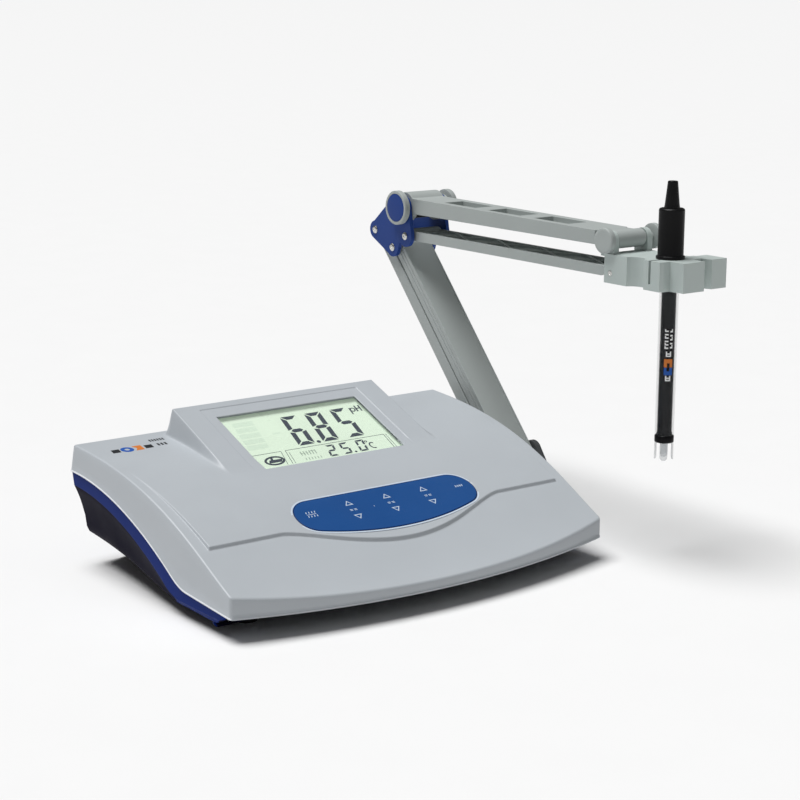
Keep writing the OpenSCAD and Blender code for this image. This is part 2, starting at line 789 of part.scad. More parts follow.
// Counterbalance spring: rings wound round the shaft, one leg on each side
module torsion_spring() {
    color([0.2, 0.2, 0.2])
    union() {
        for (i = [0:4]) at_pivot(elbow_top, arm_x - 8 + i * 4) rotate_extrude()
            translate([7.6, 0]) circle(r = 1.3);
        translate([arm_x - 8, elbow_top[0] - 1.5, elbow_top[1] - 8.6]) rotate([0, 90, 0])
            cylinder(r = 1.1, h = 16);
    }
}
module upper_top_link() {
    x0 = arm_x - hub_half;
    color(arm_grey)
    difference() {
        union() {
            at_pivot(elbow_top, x0) cylinder(r = hub_r, h = 2 * hub_half);
            side(x0, 2 * hub_half) polygon([elbow_top + [-4, 7], [head_top[0] + 15, head_top[1] + 5],
                [head_top[0] + 15, head_top[1] - 4.5], elbow_top + [-4, -4.5]]);
            side(arm_x - 12, 24) polygon([[head_top[0] + 16, head_top[1] + 5], head_top + [0, 5],
                head_top + [0, -4.5], [head_top[0] + 16, head_top[1] - 4.5]]);
            at_pivot(head_top, arm_x - 12) cylinder(r = 6, h = 24);
        }
        at_pivot(elbow_top, arm_x - 30) cylinder(r = shaft_r + fit_gap / 2, h = 60);
        at_pivot(elbow_top, arm_x - 11) cylinder(r = 9.2, h = 22);
        translate([arm_x - 11, elbow_top[0] - 5, elbow_top[1] - 20]) cube([22, 11.5, 20]);
        translate([arm_x - 11, elbow_top[0] - 13, elbow_top[1] - 20]) cube([22, 9, 15.5]);
        at_pivot(head_top, arm_x - 30) cylinder(r = 2.5 + fit_gap / 2, h = 60);
        for (y = [-20, 30, 80]) translate([arm_x - 9, y, head_top[1] - 1]) cube([18, 36, 12]);
    }
}
module upper_lower_link() {
    half = link_w / 2;
    z_mid = elbow_front[1];
    y0 = head_low[0] + 10.5;
    color(arm_grey)
    difference() {
        union() {
            for (s = [-1, 1]) side(arm_x + (s > 0 ? half - 3 : -half), 3)
                capsule([y0 + 3.3, z_mid], elbow_front, 3.4);
            translate([arm_x - half + 1, y0 + 2, z_mid - 1.2]) cube([2 * half - 2, upper_arm_l - 18, 2.8]);
            side(arm_x - 6, 12) capsule(head_low, [y0 + 8, z_mid], 3);
            at_pivot(elbow_front, arm_x - half + 0.5) cylinder(r = 5.2, h = 2 * half - 1);
            for (i = [0:3], s = [-1, 1])
                translate([arm_x, y0 + 22 + i * 48, z_mid]) rotate([0, 0, s * 27])
                    translate([-0.8, -23, 0]) cube([1.6, 46, 3.3]);
        }
        for (p = [elbow_front, head_low]) at_pivot(p, arm_x - 30) cylinder(r = pin_r + fit_gap / 2, h = 60);
        for (s = [-1, 1]) translate([arm_x + (s > 0 ? half : -half - 20), -100, 150]) cube([20, 300, 60]);
    }
}

// ---- head ----

module head_shaft() {
    color(arm_grey)
    union() {
        at_pivot(head_top, arm_x - 20) cylinder(r = 2.5, h = 44);
        at_pivot(head_top, arm_x - 21.5) cylinder(r = 8.5, h = 4.5);
        at_pivot(head_top, arm_x + 21.5) difference() {
            cylinder(r = 8.5, h = 4);
            translate([0, 0, 2]) cylinder(r = 5, h = 3);
        }
    }
}
module head_plan() {
    difference() {
        union() {
            translate([arm_x - head_half, -118]) square([2 * head_half, -118 * -1 + head_back_y]);
            translate([arm_x - 10, -130]) square([19, 14]);
            translate([arm_x + 17, -127]) square([14.5, 18]);
            translate([arm_x + 8, -119]) square([14, 12]);
        }
        translate([arm_x - head_half - 2.5, -95]) circle(8.2);
        translate([arm_x + head_half + 8, -96]) circle(12);
        translate([arm_x - head_half - 1.5, -127.2]) circle(10.2);
        translate([arm_x + 13, -127]) circle(5.2);
        translate([arm_x, electrode_y]) circle(electrode_r + fit_gap / 2);
    }
}
module clamp_head() {
    color(head_grey)
    difference() {
        union() {
            difference() {
                translate([0, 0, head_low_z]) linear_extrude(head_high_z - head_low_z) head_plan();
                translate([arm_x - head_half - 1, electrode_y - 1, head_low_z + 4]) cube([14, 2, 20]);
            }
            for (x = [-17, 12.7]) side(arm_x + x, 4.3) {
                translate(head_top) circle(6.2);
                translate([head_top[0] - 6.2, head_high_z - 2]) square([12.4, head_top[1] - head_high_z + 2]);
            }
        }
        at_pivot(head_top, arm_x - 30) cylinder(r = 2.5, h = 60);
        at_pivot(head_low, arm_x - 30) cylinder(r = pin_r, h = 60);
        translate([arm_x - 6.5, head_low[0] - 6, head_low_z - 1]) cube([13, 30, head_high_z - head_low_z - 4]);
        translate([arm_x + 9, -96, head_high_z - 9]) cylinder(r = 1.5 + fit_gap / 2, h = 12);
    }
}
module head_pin() {
    color("silver")
    at_pivot(head_low, arm_x - head_half) cylinder(r = pin_r, h = 2 * head_half);
}
module clamp_screw() {
    color([0.12, 0.12, 0.12])
    translate([arm_x + 9, -96, head_high_z - 7]) union() {
        cylinder(r = 1.5, h = 8);
        translate([0, 0, 7.2]) cylinder(r = 2.8, h = 1.6);
    }
}

// ---- electrode ----

module at_electrode(z) {
    translate([arm_x, electrode_y, z]) children();
}
module electrode_cap() {
    z0 = head_high_z;
    color([0.1, 0.1, 0.1])
    at_electrode(z0) difference() {
        union() {
            cylinder(r = 9.3, h = flange_t);
            cylinder(r = cap_r, h = flange_t + cap_h - 2);
            translate([0, 0, flange_t + cap_h - 2]) cylinder(r1 = cap_r, r2 = 6.6, h = 2);
        }
        translate([0, 0, -1]) cylinder(r = electrode_r, h = 24);
        cylinder(r = 2, h = 60);
    }
}
module electrode_boot() {
    z0 = head_high_z + flange_t + cap_h;
    color([0.1, 0.1, 0.1])
    at_electrode(z0) difference() {
        cylinder(r1 = 4.9, r2 = 3.2, h = boot_h);
        translate([0, 0, -1]) cylinder(r = 1.7, h = 40);
    }
}
module electrode_tube() {
    color([0.85, 0.88, 0.9, 0.5])
    at_electrode(tube_low_z) tube(electrode_r, electrode_r - 1.1, head_high_z + 22 - tube_low_z);
}
module electrode_core() {
    color([0.08, 0.08, 0.09])
    at_electrode(tube_low_z) union() {
        cylinder(r = 4.6, h = head_high_z + 20 - tube_low_z);
        cylinder(r = electrode_r - 1.15, h = 2);
    }
}
// Collar, four guard prongs and the glass bulb at the lower end
module electrode_tip() {
    low = electrode_tip_z;
    color([0.7, 0.72, 0.74])
    at_electrode(0) union() {
        translate([0, 0, tube_low_z - collar_h]) cylinder(r = electrode_r, h = collar_h);
        translate([0, 0, low]) difference() {
            cylinder(r = electrode_r, h = tube_low_z - collar_h - low + e);
            translate([0, 0, -1]) cylinder(r = electrode_r - 1.1, h = 14);
            for (a = [0, 90]) rotate([0, 0, a]) translate([-10, -3, -1]) cube([20, 6, 10]);
        }
        translate([0, 0, low + 4.5]) sphere(r = 3);
        translate([0, 0, low + 4]) cylinder(r = 1.8, h = 9);
    }
}

// ---- parts ----

upper_case();
lower_case();
rubber_feet();
case_screws();
display_window();
lcd_panel();
lcd_backlight();
lcd_holder();
display_board();
keypad_overlay();
keypad_board();
key_switches();
key(0);  // key_mode
key(1);  // key_temp_up
key(2);  // key_temp_down
key(3);  // key_slope_up
key(4);  // key_slope_down
key(5);  // key_offset_up
key(6);  // key_offset_down
key(7);  // key_confirm
main_board();
transformer();
rear_panel();
mains_inlet();
inlet_pins();
power_switch_frame();
power_rocker();
fuse_holder();
fuse_cap();
fuse_tube();
bnc_socket();
reference_terminal();
terminal_nut();
probe_socket();
arm_bracket();
bracket_screws();
swivel_screw();
arm_turret();
base_pins();
lower_front_link();
lower_rear_link();
elbow_plate_left();
elbow_plate_right();
elbow_pins();
elbow_shaft();
elbow_end_disc();
torsion_spring();
elbow_knob();
knob_disc();
upper_top_link();
upper_lower_link();
head_shaft();
clamp_head();
head_pin();
clamp_screw();
electrode_cap();
electrode_boot();
electrode_tube();
electrode_core();
electrode_tip();
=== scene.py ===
"""Bench pH meter with a swing-arm electrode stand: its looks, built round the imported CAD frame."""

import json
import math

import bpy
import bmesh
import numpy as np
from mathutils import Matrix, Vector
from mathutils.geometry import tessellate_polygon


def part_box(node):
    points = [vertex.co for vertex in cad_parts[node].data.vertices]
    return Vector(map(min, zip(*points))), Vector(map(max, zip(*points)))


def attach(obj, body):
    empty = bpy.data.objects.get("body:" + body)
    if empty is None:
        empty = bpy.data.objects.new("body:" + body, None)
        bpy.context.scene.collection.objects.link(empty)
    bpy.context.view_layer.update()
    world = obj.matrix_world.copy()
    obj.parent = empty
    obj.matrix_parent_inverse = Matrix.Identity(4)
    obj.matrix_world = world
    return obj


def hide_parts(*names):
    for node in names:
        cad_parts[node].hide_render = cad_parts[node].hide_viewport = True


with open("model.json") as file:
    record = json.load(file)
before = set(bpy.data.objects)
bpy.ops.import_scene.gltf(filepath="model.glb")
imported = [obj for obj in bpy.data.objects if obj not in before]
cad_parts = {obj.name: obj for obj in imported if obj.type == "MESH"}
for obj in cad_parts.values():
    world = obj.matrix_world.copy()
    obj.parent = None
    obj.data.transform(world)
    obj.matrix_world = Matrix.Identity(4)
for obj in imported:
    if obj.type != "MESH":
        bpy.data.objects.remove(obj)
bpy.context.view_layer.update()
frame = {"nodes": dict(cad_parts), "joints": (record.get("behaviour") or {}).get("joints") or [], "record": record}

MM = 0.001
SLOT_OF = {s["node"]: s["material_slot"] for s in frame["record"]["subparts"]}
BODY_OF = {n: b for b, nodes in frame["record"]["behaviour"]["bodies"].items() for n in nodes}


def box_mm(node):
    low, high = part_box(node)
    return np.array(low) / MM, np.array(high) / MM


def pivot(joint):
    """Y and Z of a joint's axis, in millimetres."""
    found = next(j for j in frame["joints"] if j["name"] == joint)
    return np.array(found["pos_m"][1:]) / MM


# ---- dimensions, in millimetres, taken from the frame where it holds them ----

CASE_LOW, CASE_HIGH = box_mm("upper_case")
HALF_BACK = CASE_HIGH[0]
HALF_FRONT = HALF_BACK - 3
FRONT_Y, BACK_Y = CASE_LOW[1], CASE_HIGH[1]
HOOD_TOP_Z = CASE_HIGH[2]
BOTTOM_Z = box_mm("lower_case")[0][2]
BOW = 21
BOW_R = (HALF_FRONT ** 2 + BOW ** 2) / (2 * BOW)
WALL = 2.2
DECK_CURVE = [(BACK_Y, 81.2), (-20, 78), (-54, 35), (FRONT_Y, 19.8)]
EDGE_R = 1.3
CORNER_R = 2.0

LOWER_FRONT_Y, LOWER_BOW_R = -82.0, 1660.0
LOWER_SET_BACK, SET_BACK_HALF, SET_BACK_SOFT = 20, 117, 23
# The second value below is where the cove's painted shade begins; it runs back from there.
BAND_LOW_Z, COVE_SHADE_FRONT_Y = 9.5, -18.0
SLANT, SLANT_TOP_Z, FRONT_LIFT = 12, 14, 2.6
KEY_WELL_HALF, KEY_WELL_HALF_Y = 66, 13.5

PANEL_START_Y, PANEL_STEP_Y = 40.0, -47.5
PANEL_RISE, PANEL_BULGE, PANEL_BULGE_HALF = 2.4, 21.0, 84.0
PANEL_FRONT_HALF, PANEL_BACK_HALF = 134.0, 138.0

HOOD_HALF, HOOD_BACK_Y, HOOD_FRONT_Y, HOOD_FRONT_Z = 80.0, 88.0, 8.5, 67.3
HOOD_RISE = (HOOD_TOP_Z - HOOD_FRONT_Z) / (HOOD_BACK_Y - HOOD_FRONT_Y)
HOOD_TILT = math.atan(HOOD_RISE)
WINDOW_HALF_W, WINDOW_HALF_L, WINDOW_Y = 55.0, 32.0, 43.8
WINDOW_Z = HOOD_TOP_Z - (HOOD_BACK_Y - WINDOW_Y) * HOOD_RISE
WINDOW_FRONT_Y = WINDOW_Y - WINDOW_HALF_L * math.cos(HOOD_TILT)
WINDOW_BACK_Y = WINDOW_Y + WINDOW_HALF_L * math.cos(HOOD_TILT)
FACIA_HALF, FACIA_BACK_Y, FACIA_DEPTH = 62.5, 82.4, 0.5

CELL_DEPTH = WALL + 0.2 + 1.5
KEYPAD_X, KEYPAD_Y, KEYPAD_Z, KEYPAD_TILT = 1.0, -43.0, 49.291, math.radians(24.26)

ARM_X = float(np.mean([c[0] for c in box_mm("upper_top_link")]))
ELBOW_TOP = pivot("upper_arm_tilt")
HEAD_TOP = pivot("head_level")
ELBOW_FRONT_PIN = pivot("elbow_level")
BASE_FRONT_PIN = pivot("lower_arm_tilt")
BASE_REAR_PIN = pivot("rear_link_tilt")
LOWER_ARM = ELBOW_FRONT_PIN - BASE_FRONT_PIN
ELBOW_REAR_PIN = BASE_REAR_PIN + LOWER_ARM
ELBOW_FRONT = pivot("lower_rod_tilt")
ELECTRODE_Y = float(np.mean([c[1] for c in box_mm("electrode_cap")]))
PRONG_HALF = 0.42  # half the angle of a guard prong, in radians
ACROSS, UP = (1, 0, 0), (0, 0, 1)


def deck_height(y):
    """Height of the deck's side view, a cubic Bezier curve, at y."""
    t = np.linspace(0, 1, 1501)[:, None]
    p = np.array(DECK_CURVE)
    curve = (1 - t) ** 3 * p[0] + 3 * (1 - t) ** 2 * t * p[1] + 3 * (1 - t) * t ** 2 * p[2] + t ** 3 * p[3]
    return np.interp(y, curve[::-1, 0], curve[::-1, 1])


def front_edge(x):
    """Y of the bowed front edge at x."""
    return FRONT_Y + BOW_R - np.sqrt(BOW_R ** 2 - np.clip(np.abs(x), 0, HALF_BACK) ** 2)


def side_edge(y):
    """Half width of the case at y."""
    return HALF_FRONT + (HALF_BACK - HALF_FRONT) * (y - FRONT_Y) / (BACK_Y - FRONT_Y)


def panel_edge(y):
    """Half width of the raised panel at y."""
    t = np.clip((y - PANEL_STEP_Y) / (PANEL_START_Y - PANEL_STEP_Y), 0, 1)
    return PANEL_FRONT_HALF + t * (PANEL_BACK_HALF - PANEL_FRONT_HALF)


def panel_height(y):
    return deck_height(y) + PANEL_RISE * np.clip((PANEL_START_Y - y) / (PANEL_START_Y + 68), 0, None)


def step_edge(x):
    """Y of the panel's front edge, which bulges round the keypad."""
    q = np.clip(np.abs(x) / PANEL_BULGE_HALF, 0, 1)
    return PANEL_STEP_Y - PANEL_BULGE * (1 - q ** 2) ** 1.5


def seam_height(y):
    """Height of the parting line between the two case halves."""
    return soft_max(13 + 0.065 * (y - FRONT_Y), 62.7 - 0.0025 * (107 - y) ** 2, 5)


def band_height(y):
    """Height of the coloured band's lower edge."""
    return soft_max(54 - 0.0027 * (110 - y) ** 2, BAND_LOW_Z, 6)


# ---- materials ----


class Shade:
    """A new material with its shader, and the few nodes that the materials here are made of."""

    def __init__(self, name):
        self.material = bpy.data.materials.new(name)
        self.material.use_nodes = True
        self.nodes, self.links = self.material.node_tree.nodes, self.material.node_tree.links
        self.shader = self.nodes["Principled BSDF"]

    def add(self, kind, **inputs):
        """A node with some of its inputs set. An underscore stands for a space in an input's name."""
        node = self.nodes.new(kind)
        for name, value in inputs.items():
            node.inputs[name.replace("_", " ")].default_value = value
        return node

    def placed(self, kind, **inputs):
        """A texture in the object's own coordinates."""
        node = self.add(kind, **inputs)
        self.links.new(self.add("ShaderNodeTexCoord").outputs["Object"], node.inputs["Vector"])
        return node

    def noise(self, scale, detail=2.0):
        """Noise over the surface; scale is in features per metre."""
        return self.placed("ShaderNodeTexNoise", Scale=scale, Detail=detail).outputs["Fac"]

    def between(self, fac, low, high):
        """The range low to high, as fac goes from 0.3 to 0.7."""
        span = self.add("ShaderNodeMapRange", From_Min=0.3, From_Max=0.7, To_Min=low, To_Max=high)
        self.links.new(fac, span.inputs["Value"])
        return span.outputs["Result"]

    def tinted(self, fac, colour, spread):
        """The colour, a little darker and lighter as fac goes from 0.3 to 0.7."""
        ramp = self.add("ShaderNodeValToRGB")
        low, high = ramp.color_ramp.elements[0], ramp.color_ramp.elements[1]
        low.position, high.position = 0.3, 0.7
        low.color = [c * (1 - spread) for c in colour] + [1]
        high.color = [min(1, c * (1 + spread)) for c in colour] + [1]
        self.links.new(fac, ramp.inputs["Fac"])
        return ramp.outputs["Color"]

    def feed(self, name, output):
        self.links.new(output, self.shader.inputs[name])

    def bump(self, fac, strength, depth):
        node = self.add("ShaderNodeBump", Strength=strength, Distance=depth * MM)
        self.links.new(fac, node.inputs["Height"])
        self.feed("Normal", node.outputs["Normal"])


def moulded(name, colour, rough=(0.42, 0.52), grain=2600, depth=0.03, spread=0.02, specular=0.5):
    """Moulded plastic: a fine spark-eroded grain, a slow change of tone and of gloss."""
    shade = Shade(name)
    shade.feed("Base Color", shade.tinted(shade.noise(18, 3), colour, spread))
    shade.feed("Roughness", shade.between(shade.noise(45, 4), *rough))
    shade.shader.inputs["Specular IOR Level"].default_value = specular
    shade.bump(shade.noise(grain), 0.35, depth)
    return shade.material


def ink(name, colour):
    return moulded(name, colour, (0.4, 0.5), 3000, 0.005, 0.03, 0.2)


def metal(name, colour, rough=(0.22, 0.36), brush=(40, 2400, 2400), spread=0.05):
    """Plated or turned metal with faint brush marks along X."""
    shade = Shade(name)
    squeeze = shade.placed("ShaderNodeMapping", Scale=brush)
    texture = shade.add("ShaderNodeTexNoise", Scale=1)
    shade.links.new(squeeze.outputs["Vector"], texture.inputs["Vector"])
    fac = texture.outputs["Fac"]
    shade.feed("Base Color", shade.tinted(fac, colour, spread))
    shade.feed("Roughness", shade.between(fac, *rough))
    shade.shader.inputs["Metallic"].default_value = 1
    shade.bump(fac, 0.2, 0.01)
    return shade.material


def clear(name, colour, alpha, rough=(0.03, 0.08)):
    """Thin clear plastic or glass: mostly see-through, with a glossy skin."""
    shade = Shade(name)
    shade.feed("Base Color", shade.tinted(shade.noise(30), colour, 0.02))
    shade.feed("Roughness", shade.between(shade.noise(90, 3), *rough))
    shade.shader.inputs["Alpha"].default_value = alpha
    shade.shader.inputs["IOR"].default_value = 1.49
    return shade.material


def lit_cell(name, colour, glow):
    """The liquid crystal cell: a pale face with a faint row pattern and an even backlight."""
    shade = Shade(name)
    waves = shade.placed("ShaderNodeTexWave", Scale=420)
    mix = shade.nodes.new("ShaderNodeMix")
    mix.data_type = "RGBA"
    mix.blend_type = "MULTIPLY"
    mix.inputs["Factor"].default_value = 1
    shade.links.new(shade.tinted(waves.outputs["Fac"], colour, 0.012), mix.inputs["A"])
    shade.links.new(shade.tinted(shade.noise(22, 1), (1, 1, 1), 0.05), mix.inputs["B"])
    shade.feed("Base Color", mix.outputs["Result"])
    shade.feed("Emission Color", mix.outputs["Result"])
    shade.shader.inputs["Emission Strength"].default_value = glow
    shade.feed("Roughness", shade.between(shade.noise(60, 3), 0.25, 0.32))
    return shade.material


def circuit(name):
    """Solder mask with paler traces under it."""
    shade = Shade(name)
    bricks = shade.placed("ShaderNodeTexBrick", Scale=130, Mortar_Size=0.08, Color1=(0.015, 0.11, 0.05, 1),
                          Color2=(0.02, 0.14, 0.06, 1), Mortar=(0.04, 0.24, 0.1, 1))
    shade.feed("Base Color", bricks.outputs["Color"])
    shade.feed("Roughness", shade.between(shade.noise(300), 0.25, 0.4))
    return shade.material


FINISH = {slot: make(slot, *values) for slot, (make, *values) in {
    "case_grey": (moulded, (0.475, 0.508, 0.54), (0.36, 0.46), 2600, 0.03, 0.015),
    "band_blue": (moulded, (0.005, 0.022, 0.165), (0.38, 0.48), 2200, 0.03, 0.05, 0.05),
    "foot_rubber": (moulded, (0.02, 0.02, 0.02), (0.7, 0.85), 1500, 0.06, 0.1, 0.2),
    "screw_steel": (metal, (0.62, 0.62, 0.6)),
    "window_clear": (clear, (0.9, 0.95, 0.92), 0.04, (0.04, 0.07)),
    "lcd_face": (lit_cell, (0.61, 0.725, 0.585), 0.3),
    "white_plastic": (moulded, (0.78, 0.78, 0.76)),
    "board": (circuit,),
    "keypad_blue": (moulded, (0.014, 0.078, 0.265), (0.3, 0.4), 1800, 0.02, 0.04, 0.2),
    "black_plastic": (moulded, (0.006, 0.006, 0.007), (0.3, 0.42), 2000, 0.03, 0.1, 0.12),
    "core_steel": (metal, (0.1, 0.09, 0.08), (0.4, 0.6), (2400, 40, 40), 0.3),
    "panel_dark": (moulded, (0.045, 0.046, 0.05), (0.45, 0.6), 1600, 0.05, 0.06),
    "rocker_red": (moulded, (0.42, 0.018, 0.015), (0.2, 0.28), 1500, 0.01, 0.04),
    "fuse_glass": (clear, (0.85, 0.88, 0.88), 0.4),
    "nickel": (metal, (0.7, 0.68, 0.62), (0.12, 0.25)),
    "brass": (metal, (0.72, 0.5, 0.2), (0.2, 0.32)),
    "turret_grey": (moulded, (0.075, 0.08, 0.085), (0.45, 0.6), 1500, 0.06, 0.06),
    "arm_grey": (moulded, (0.42, 0.455, 0.445), (0.4, 0.5), 2200, 0.035, 0.025, 0.35),
    "elbow_blue": (moulded, (0.022, 0.06, 0.255), (0.34, 0.44), 2200, 0.03, 0.05, 0.12),
    "spring_steel": (metal, (0.09, 0.09, 0.09), (0.3, 0.45)),
    "head_grey": (moulded, (0.5, 0.565, 0.545), (0.4, 0.5), 2200, 0.035, 0.02),
    "boot_rubber": (moulded, (0.006, 0.006, 0.0065), (0.3, 0.4), 1400, 0.05, 0.1, 0.25),
    "tube_clear": (clear, (0.06, 0.065, 0.07), 0.15, (0.05, 0.1)),
}.items()}
# Painted shade: a near-black navy, far darker than the band's blue, for the lower case's cove, bottom and downward
# faces.
COVE_PAINTED_SHADE = moulded("cove_painted_shade", (0.006, 0.005, 0.016), (0.5, 0.6), 2200, 0.03, 0.08, 0.03)
INK_DARK = moulded("ink_dark", (0.012, 0.024, 0.05), (0.35, 0.4), 3000, 0.005, 0.03, 0.1)
INK_GHOST = lit_cell("ink_ghost", (0.56, 0.68, 0.55), 0.26)
INK_FAINT = lit_cell("ink_faint", (0.30, 0.39, 0.31), 0.1)
INK_WHITE = ink("ink_white", (0.55, 0.64, 0.76))
INK_ORANGE = ink("ink_orange", (0.66, 0.2, 0.04))
INK_BLUE = ink("ink_blue", (0.02, 0.1, 0.42))
INK_BLACK = ink("ink_black", (0.02, 0.022, 0.025))
INK_LABEL = ink("ink_label", (0.92, 0.92, 0.92))
GUARD = clear("guard_clear", (0.6, 0.63, 0.65), 0.34, (0.05, 0.1))
GLASS = clear("bulb_glass", (0.82, 0.86, 0.88), 0.2, (0.02, 0.05))
# Painted shade: a darker copy of the keypad blue for the overlay's edge where it faces the front.
KEYPAD_EDGE_PAINTED_SHADE = moulded("keypad_edge_painted_shade", (0.006, 0.03, 0.12), (0.34, 0.44), 1800, 0.02, 0.04, 0.1)
# Painted highlight: a near-white for the sides of the upper case's lip at the parting line.
LIP_PAINTED_HIGHLIGHT = moulded("lip_painted_highlight", (0.86, 0.88, 0.92), (0.3, 0.4), 2600, 0.02, 0.02, 0.3)
# Painted highlight: a pale blue-grey, brighter than the case, for the bead round the keypad.
RIM_PAINTED_HIGHLIGHT = moulded("rim_painted_highlight", (0.62, 0.7, 0.8), (0.3, 0.4), 2600, 0.02, 0.02, 0.3)


# ---- mesh helpers ----


def add_object(name, verts, faces, material, body, slot=None, sharp=35):
    """A mesh piece from vertices in millimetres, shaded smooth up to the sharp angle."""
    mesh = bpy.data.meshes.new(name)
    mesh.from_pydata([[float(c) * MM for c in v] for v in verts], [], [list(map(int, f)) for f in faces])
    bm = bmesh.new()
    bm.from_mesh(mesh)
    bmesh.ops.remove_doubles(bm, verts=bm.verts, dist=2e-6)
    bmesh.ops.dissolve_degenerate(bm, edges=bm.edges, dist=1e-6)
    bmesh.ops.recalc_face_normals(bm, faces=bm.faces)
    bm.to_mesh(mesh)
    bm.free()
    for polygon in mesh.polygons:
        polygon.use_smooth = True
    mesh.set_sharp_from_angle(angle=math.radians(sharp))
    obj = bpy.data.objects.new(name, mesh)
    bpy.context.scene.collection.objects.link(obj)
    mesh.materials.append(material)
    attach(obj, body)
    return obj


def from_cad(node, width, angle=40):
    """A piece with the CAD node's shape and its edges above the angle rounded, which stands for that node."""
    source = frame["nodes"][node].data
    verts = [v.co / MM for v in source.vertices]
    slot = SLOT_OF[node]
    faces = [p.vertices for p in source.polygons]
    obj = add_object("look_" + node, verts, faces, FINISH[slot], BODY_OF[node], slot)
    bm = bmesh.new()
    bm.from_mesh(obj.data)
    bmesh.ops.dissolve_limit(bm, angle_limit=math.radians(0.5), verts=bm.verts, edges=bm.edges)
    bm.to_mesh(obj.data)
    bm.free()
    for edge in obj.data.edges:
        edge.use_edge_sharp = False
    bevel = obj.modifiers.new("bevel", "BEVEL")
    bevel.width = width * MM
    bevel.segments = 2
    bevel.limit_method = "ANGLE"
    bevel.angle_limit = math.radians(angle)
    bevel.harden_normals = False
    normals = obj.modifiers.new("normals", "WEIGHTED_NORMAL")
    normals.keep_sharp = True
    normals.weight = 80
    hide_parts(node)


def rows_of_quads(rows, closed):
    """Quads between rows of vertex numbers of equal length."""
    faces = []
    for a, b in zip(rows, rows[1:]):
        count = len(a)
        for i in range(count if closed else count - 1):
            j = (i + 1) % count
            faces.append((a[i], b[i], b[j], a[j]))
    return faces


def add_ring(verts, rows, points):
    """Adds a ring of points to a mesh, and its vertex numbers to the rows."""
    rows.append(range(len(verts), len(verts) + len(points)))
    verts.extend(points)


def spokes(side, other, count):
    """Directions evenly round a circle, from side towards other."""
    turns = [2 * math.pi * i / count for i in range(count)]
    return [side * math.cos(turn) + other * math.sin(turn) for turn in turns]


def capped(rows):
    """The two end faces of a run of rings."""
    return [tuple(rows[0]), tuple(reversed(rows[-1]))]


def turned_mesh(parts, segments):
    """Rings of turned solids. A part is a profile of (radius, distance along) pairs, a centre and an axis.
    A profile is closed on itself where it ends as it began, and by end faces otherwise."""
    verts, faces = [], []
    for profile, centre, axis in parts:
        axis = Vector(axis).normalized()
        side = axis.orthogonal().normalized()
        other = axis.cross(side)
        rows = []
        for radius, along in profile:
            middle = Vector(centre) + axis * float(along)
            add_ring(verts, rows, [middle + float(radius) * spoke for spoke in spokes(side, other, segments)])
        faces += rows_of_quads(rows, True)
        if profile[0] != profile[-1]:
            faces += capped(rows)
    return verts, faces


def lathe(name, profile, centre, axis, material, body, slot, segments):
    return add_object(name, *turned_mesh([(profile, centre, axis)], segments), material, body, slot)


def stand_in(node, verts, faces, sharp=35):
    """A mesh of this script's own that stands for a CAD node."""
    slot = SLOT_OF[node]
    obj = add_object("look_" + node, verts, faces, FINISH[slot], BODY_OF[node], slot, sharp)
    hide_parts(node)


def soft_min(a, b, k):
    """The lesser of a and b, blended where they are less than k apart."""
    h = np.clip(k - np.abs(a - b), 0, None) / k
    return np.minimum(a, b) - h * h * k / 4


def soft_max(a, b, k):
    return -soft_min(-a, -b, k)


def mirrored(values):
    """Negative and positive copies of a rising list that starts at or above zero."""
    negative = [-v for v in reversed(values) if v > 0]
    return negative + list(values)


def around(place, steps):
    """Stations close together on both sides of a feature line."""
    return [place + s for s in steps]


def stations(low, high, pitch, features):
    """Evenly spaced stations with extra ones at features, none closer than a hair."""
    values = set(np.round(np.arange(low, high + 1e-6, pitch), 3)) | {round(f, 3) for f in features}
    kept = []
    fixed = {round(f, 3) for f in features}
    for v in sorted(v for v in values if low <= v <= high):
        if kept and v - kept[-1] < pitch * 0.35 and v not in fixed:
            continue
        while kept and v - kept[-1] < pitch * 0.35 and kept[-1] not in fixed and v in fixed:
            kept.pop()
        kept.append(v)
    return kept


def piecewise(value, ins, outs):
    """Linear interpolation where the outputs may be arrays."""
    result = outs[0] + 0 * value
    for a, b, p, q in zip(ins, ins[1:], outs, outs[1:]):
        result = result + np.clip((value - a) / (b - a), 0, 1) * (q - p)
    return result


def smooth_step(t):
    """0 up to t = -1, 1 from t = 1 on, and a smooth rise between."""
    t = np.clip((t + 1) / 2, 0, 1)
    return t * t * (3 - 2 * t)


def fillet_drop(distance, radius):
    """How far a rounded edge lies below the flat, at a distance in from the edge."""
    d = np.clip(distance, 0, radius)
    return radius - np.sqrt(np.clip(radius ** 2 - (radius - d) ** 2, 0, None))


# ---- case ----

FINE = (-1.6, -1.0, -0.6, -0.35, -0.15, 0, 0.15, 0.35, 0.6, 1.0, 1.6)
EDGE_STEPS = (0, 0.05, 0.15, 0.35, 0.65, 1.0, 1.5, 2.0, 2.8, 4.0)
HOOD_STEPS = (-1, -0.5, -0.3, -0.15, 0, 0.15, 0.3, 0.5, 0.9, 1.4, 1.8, 2.1, 2.35, 2.6, 2.85, 3.2, 3.7, 4.6)


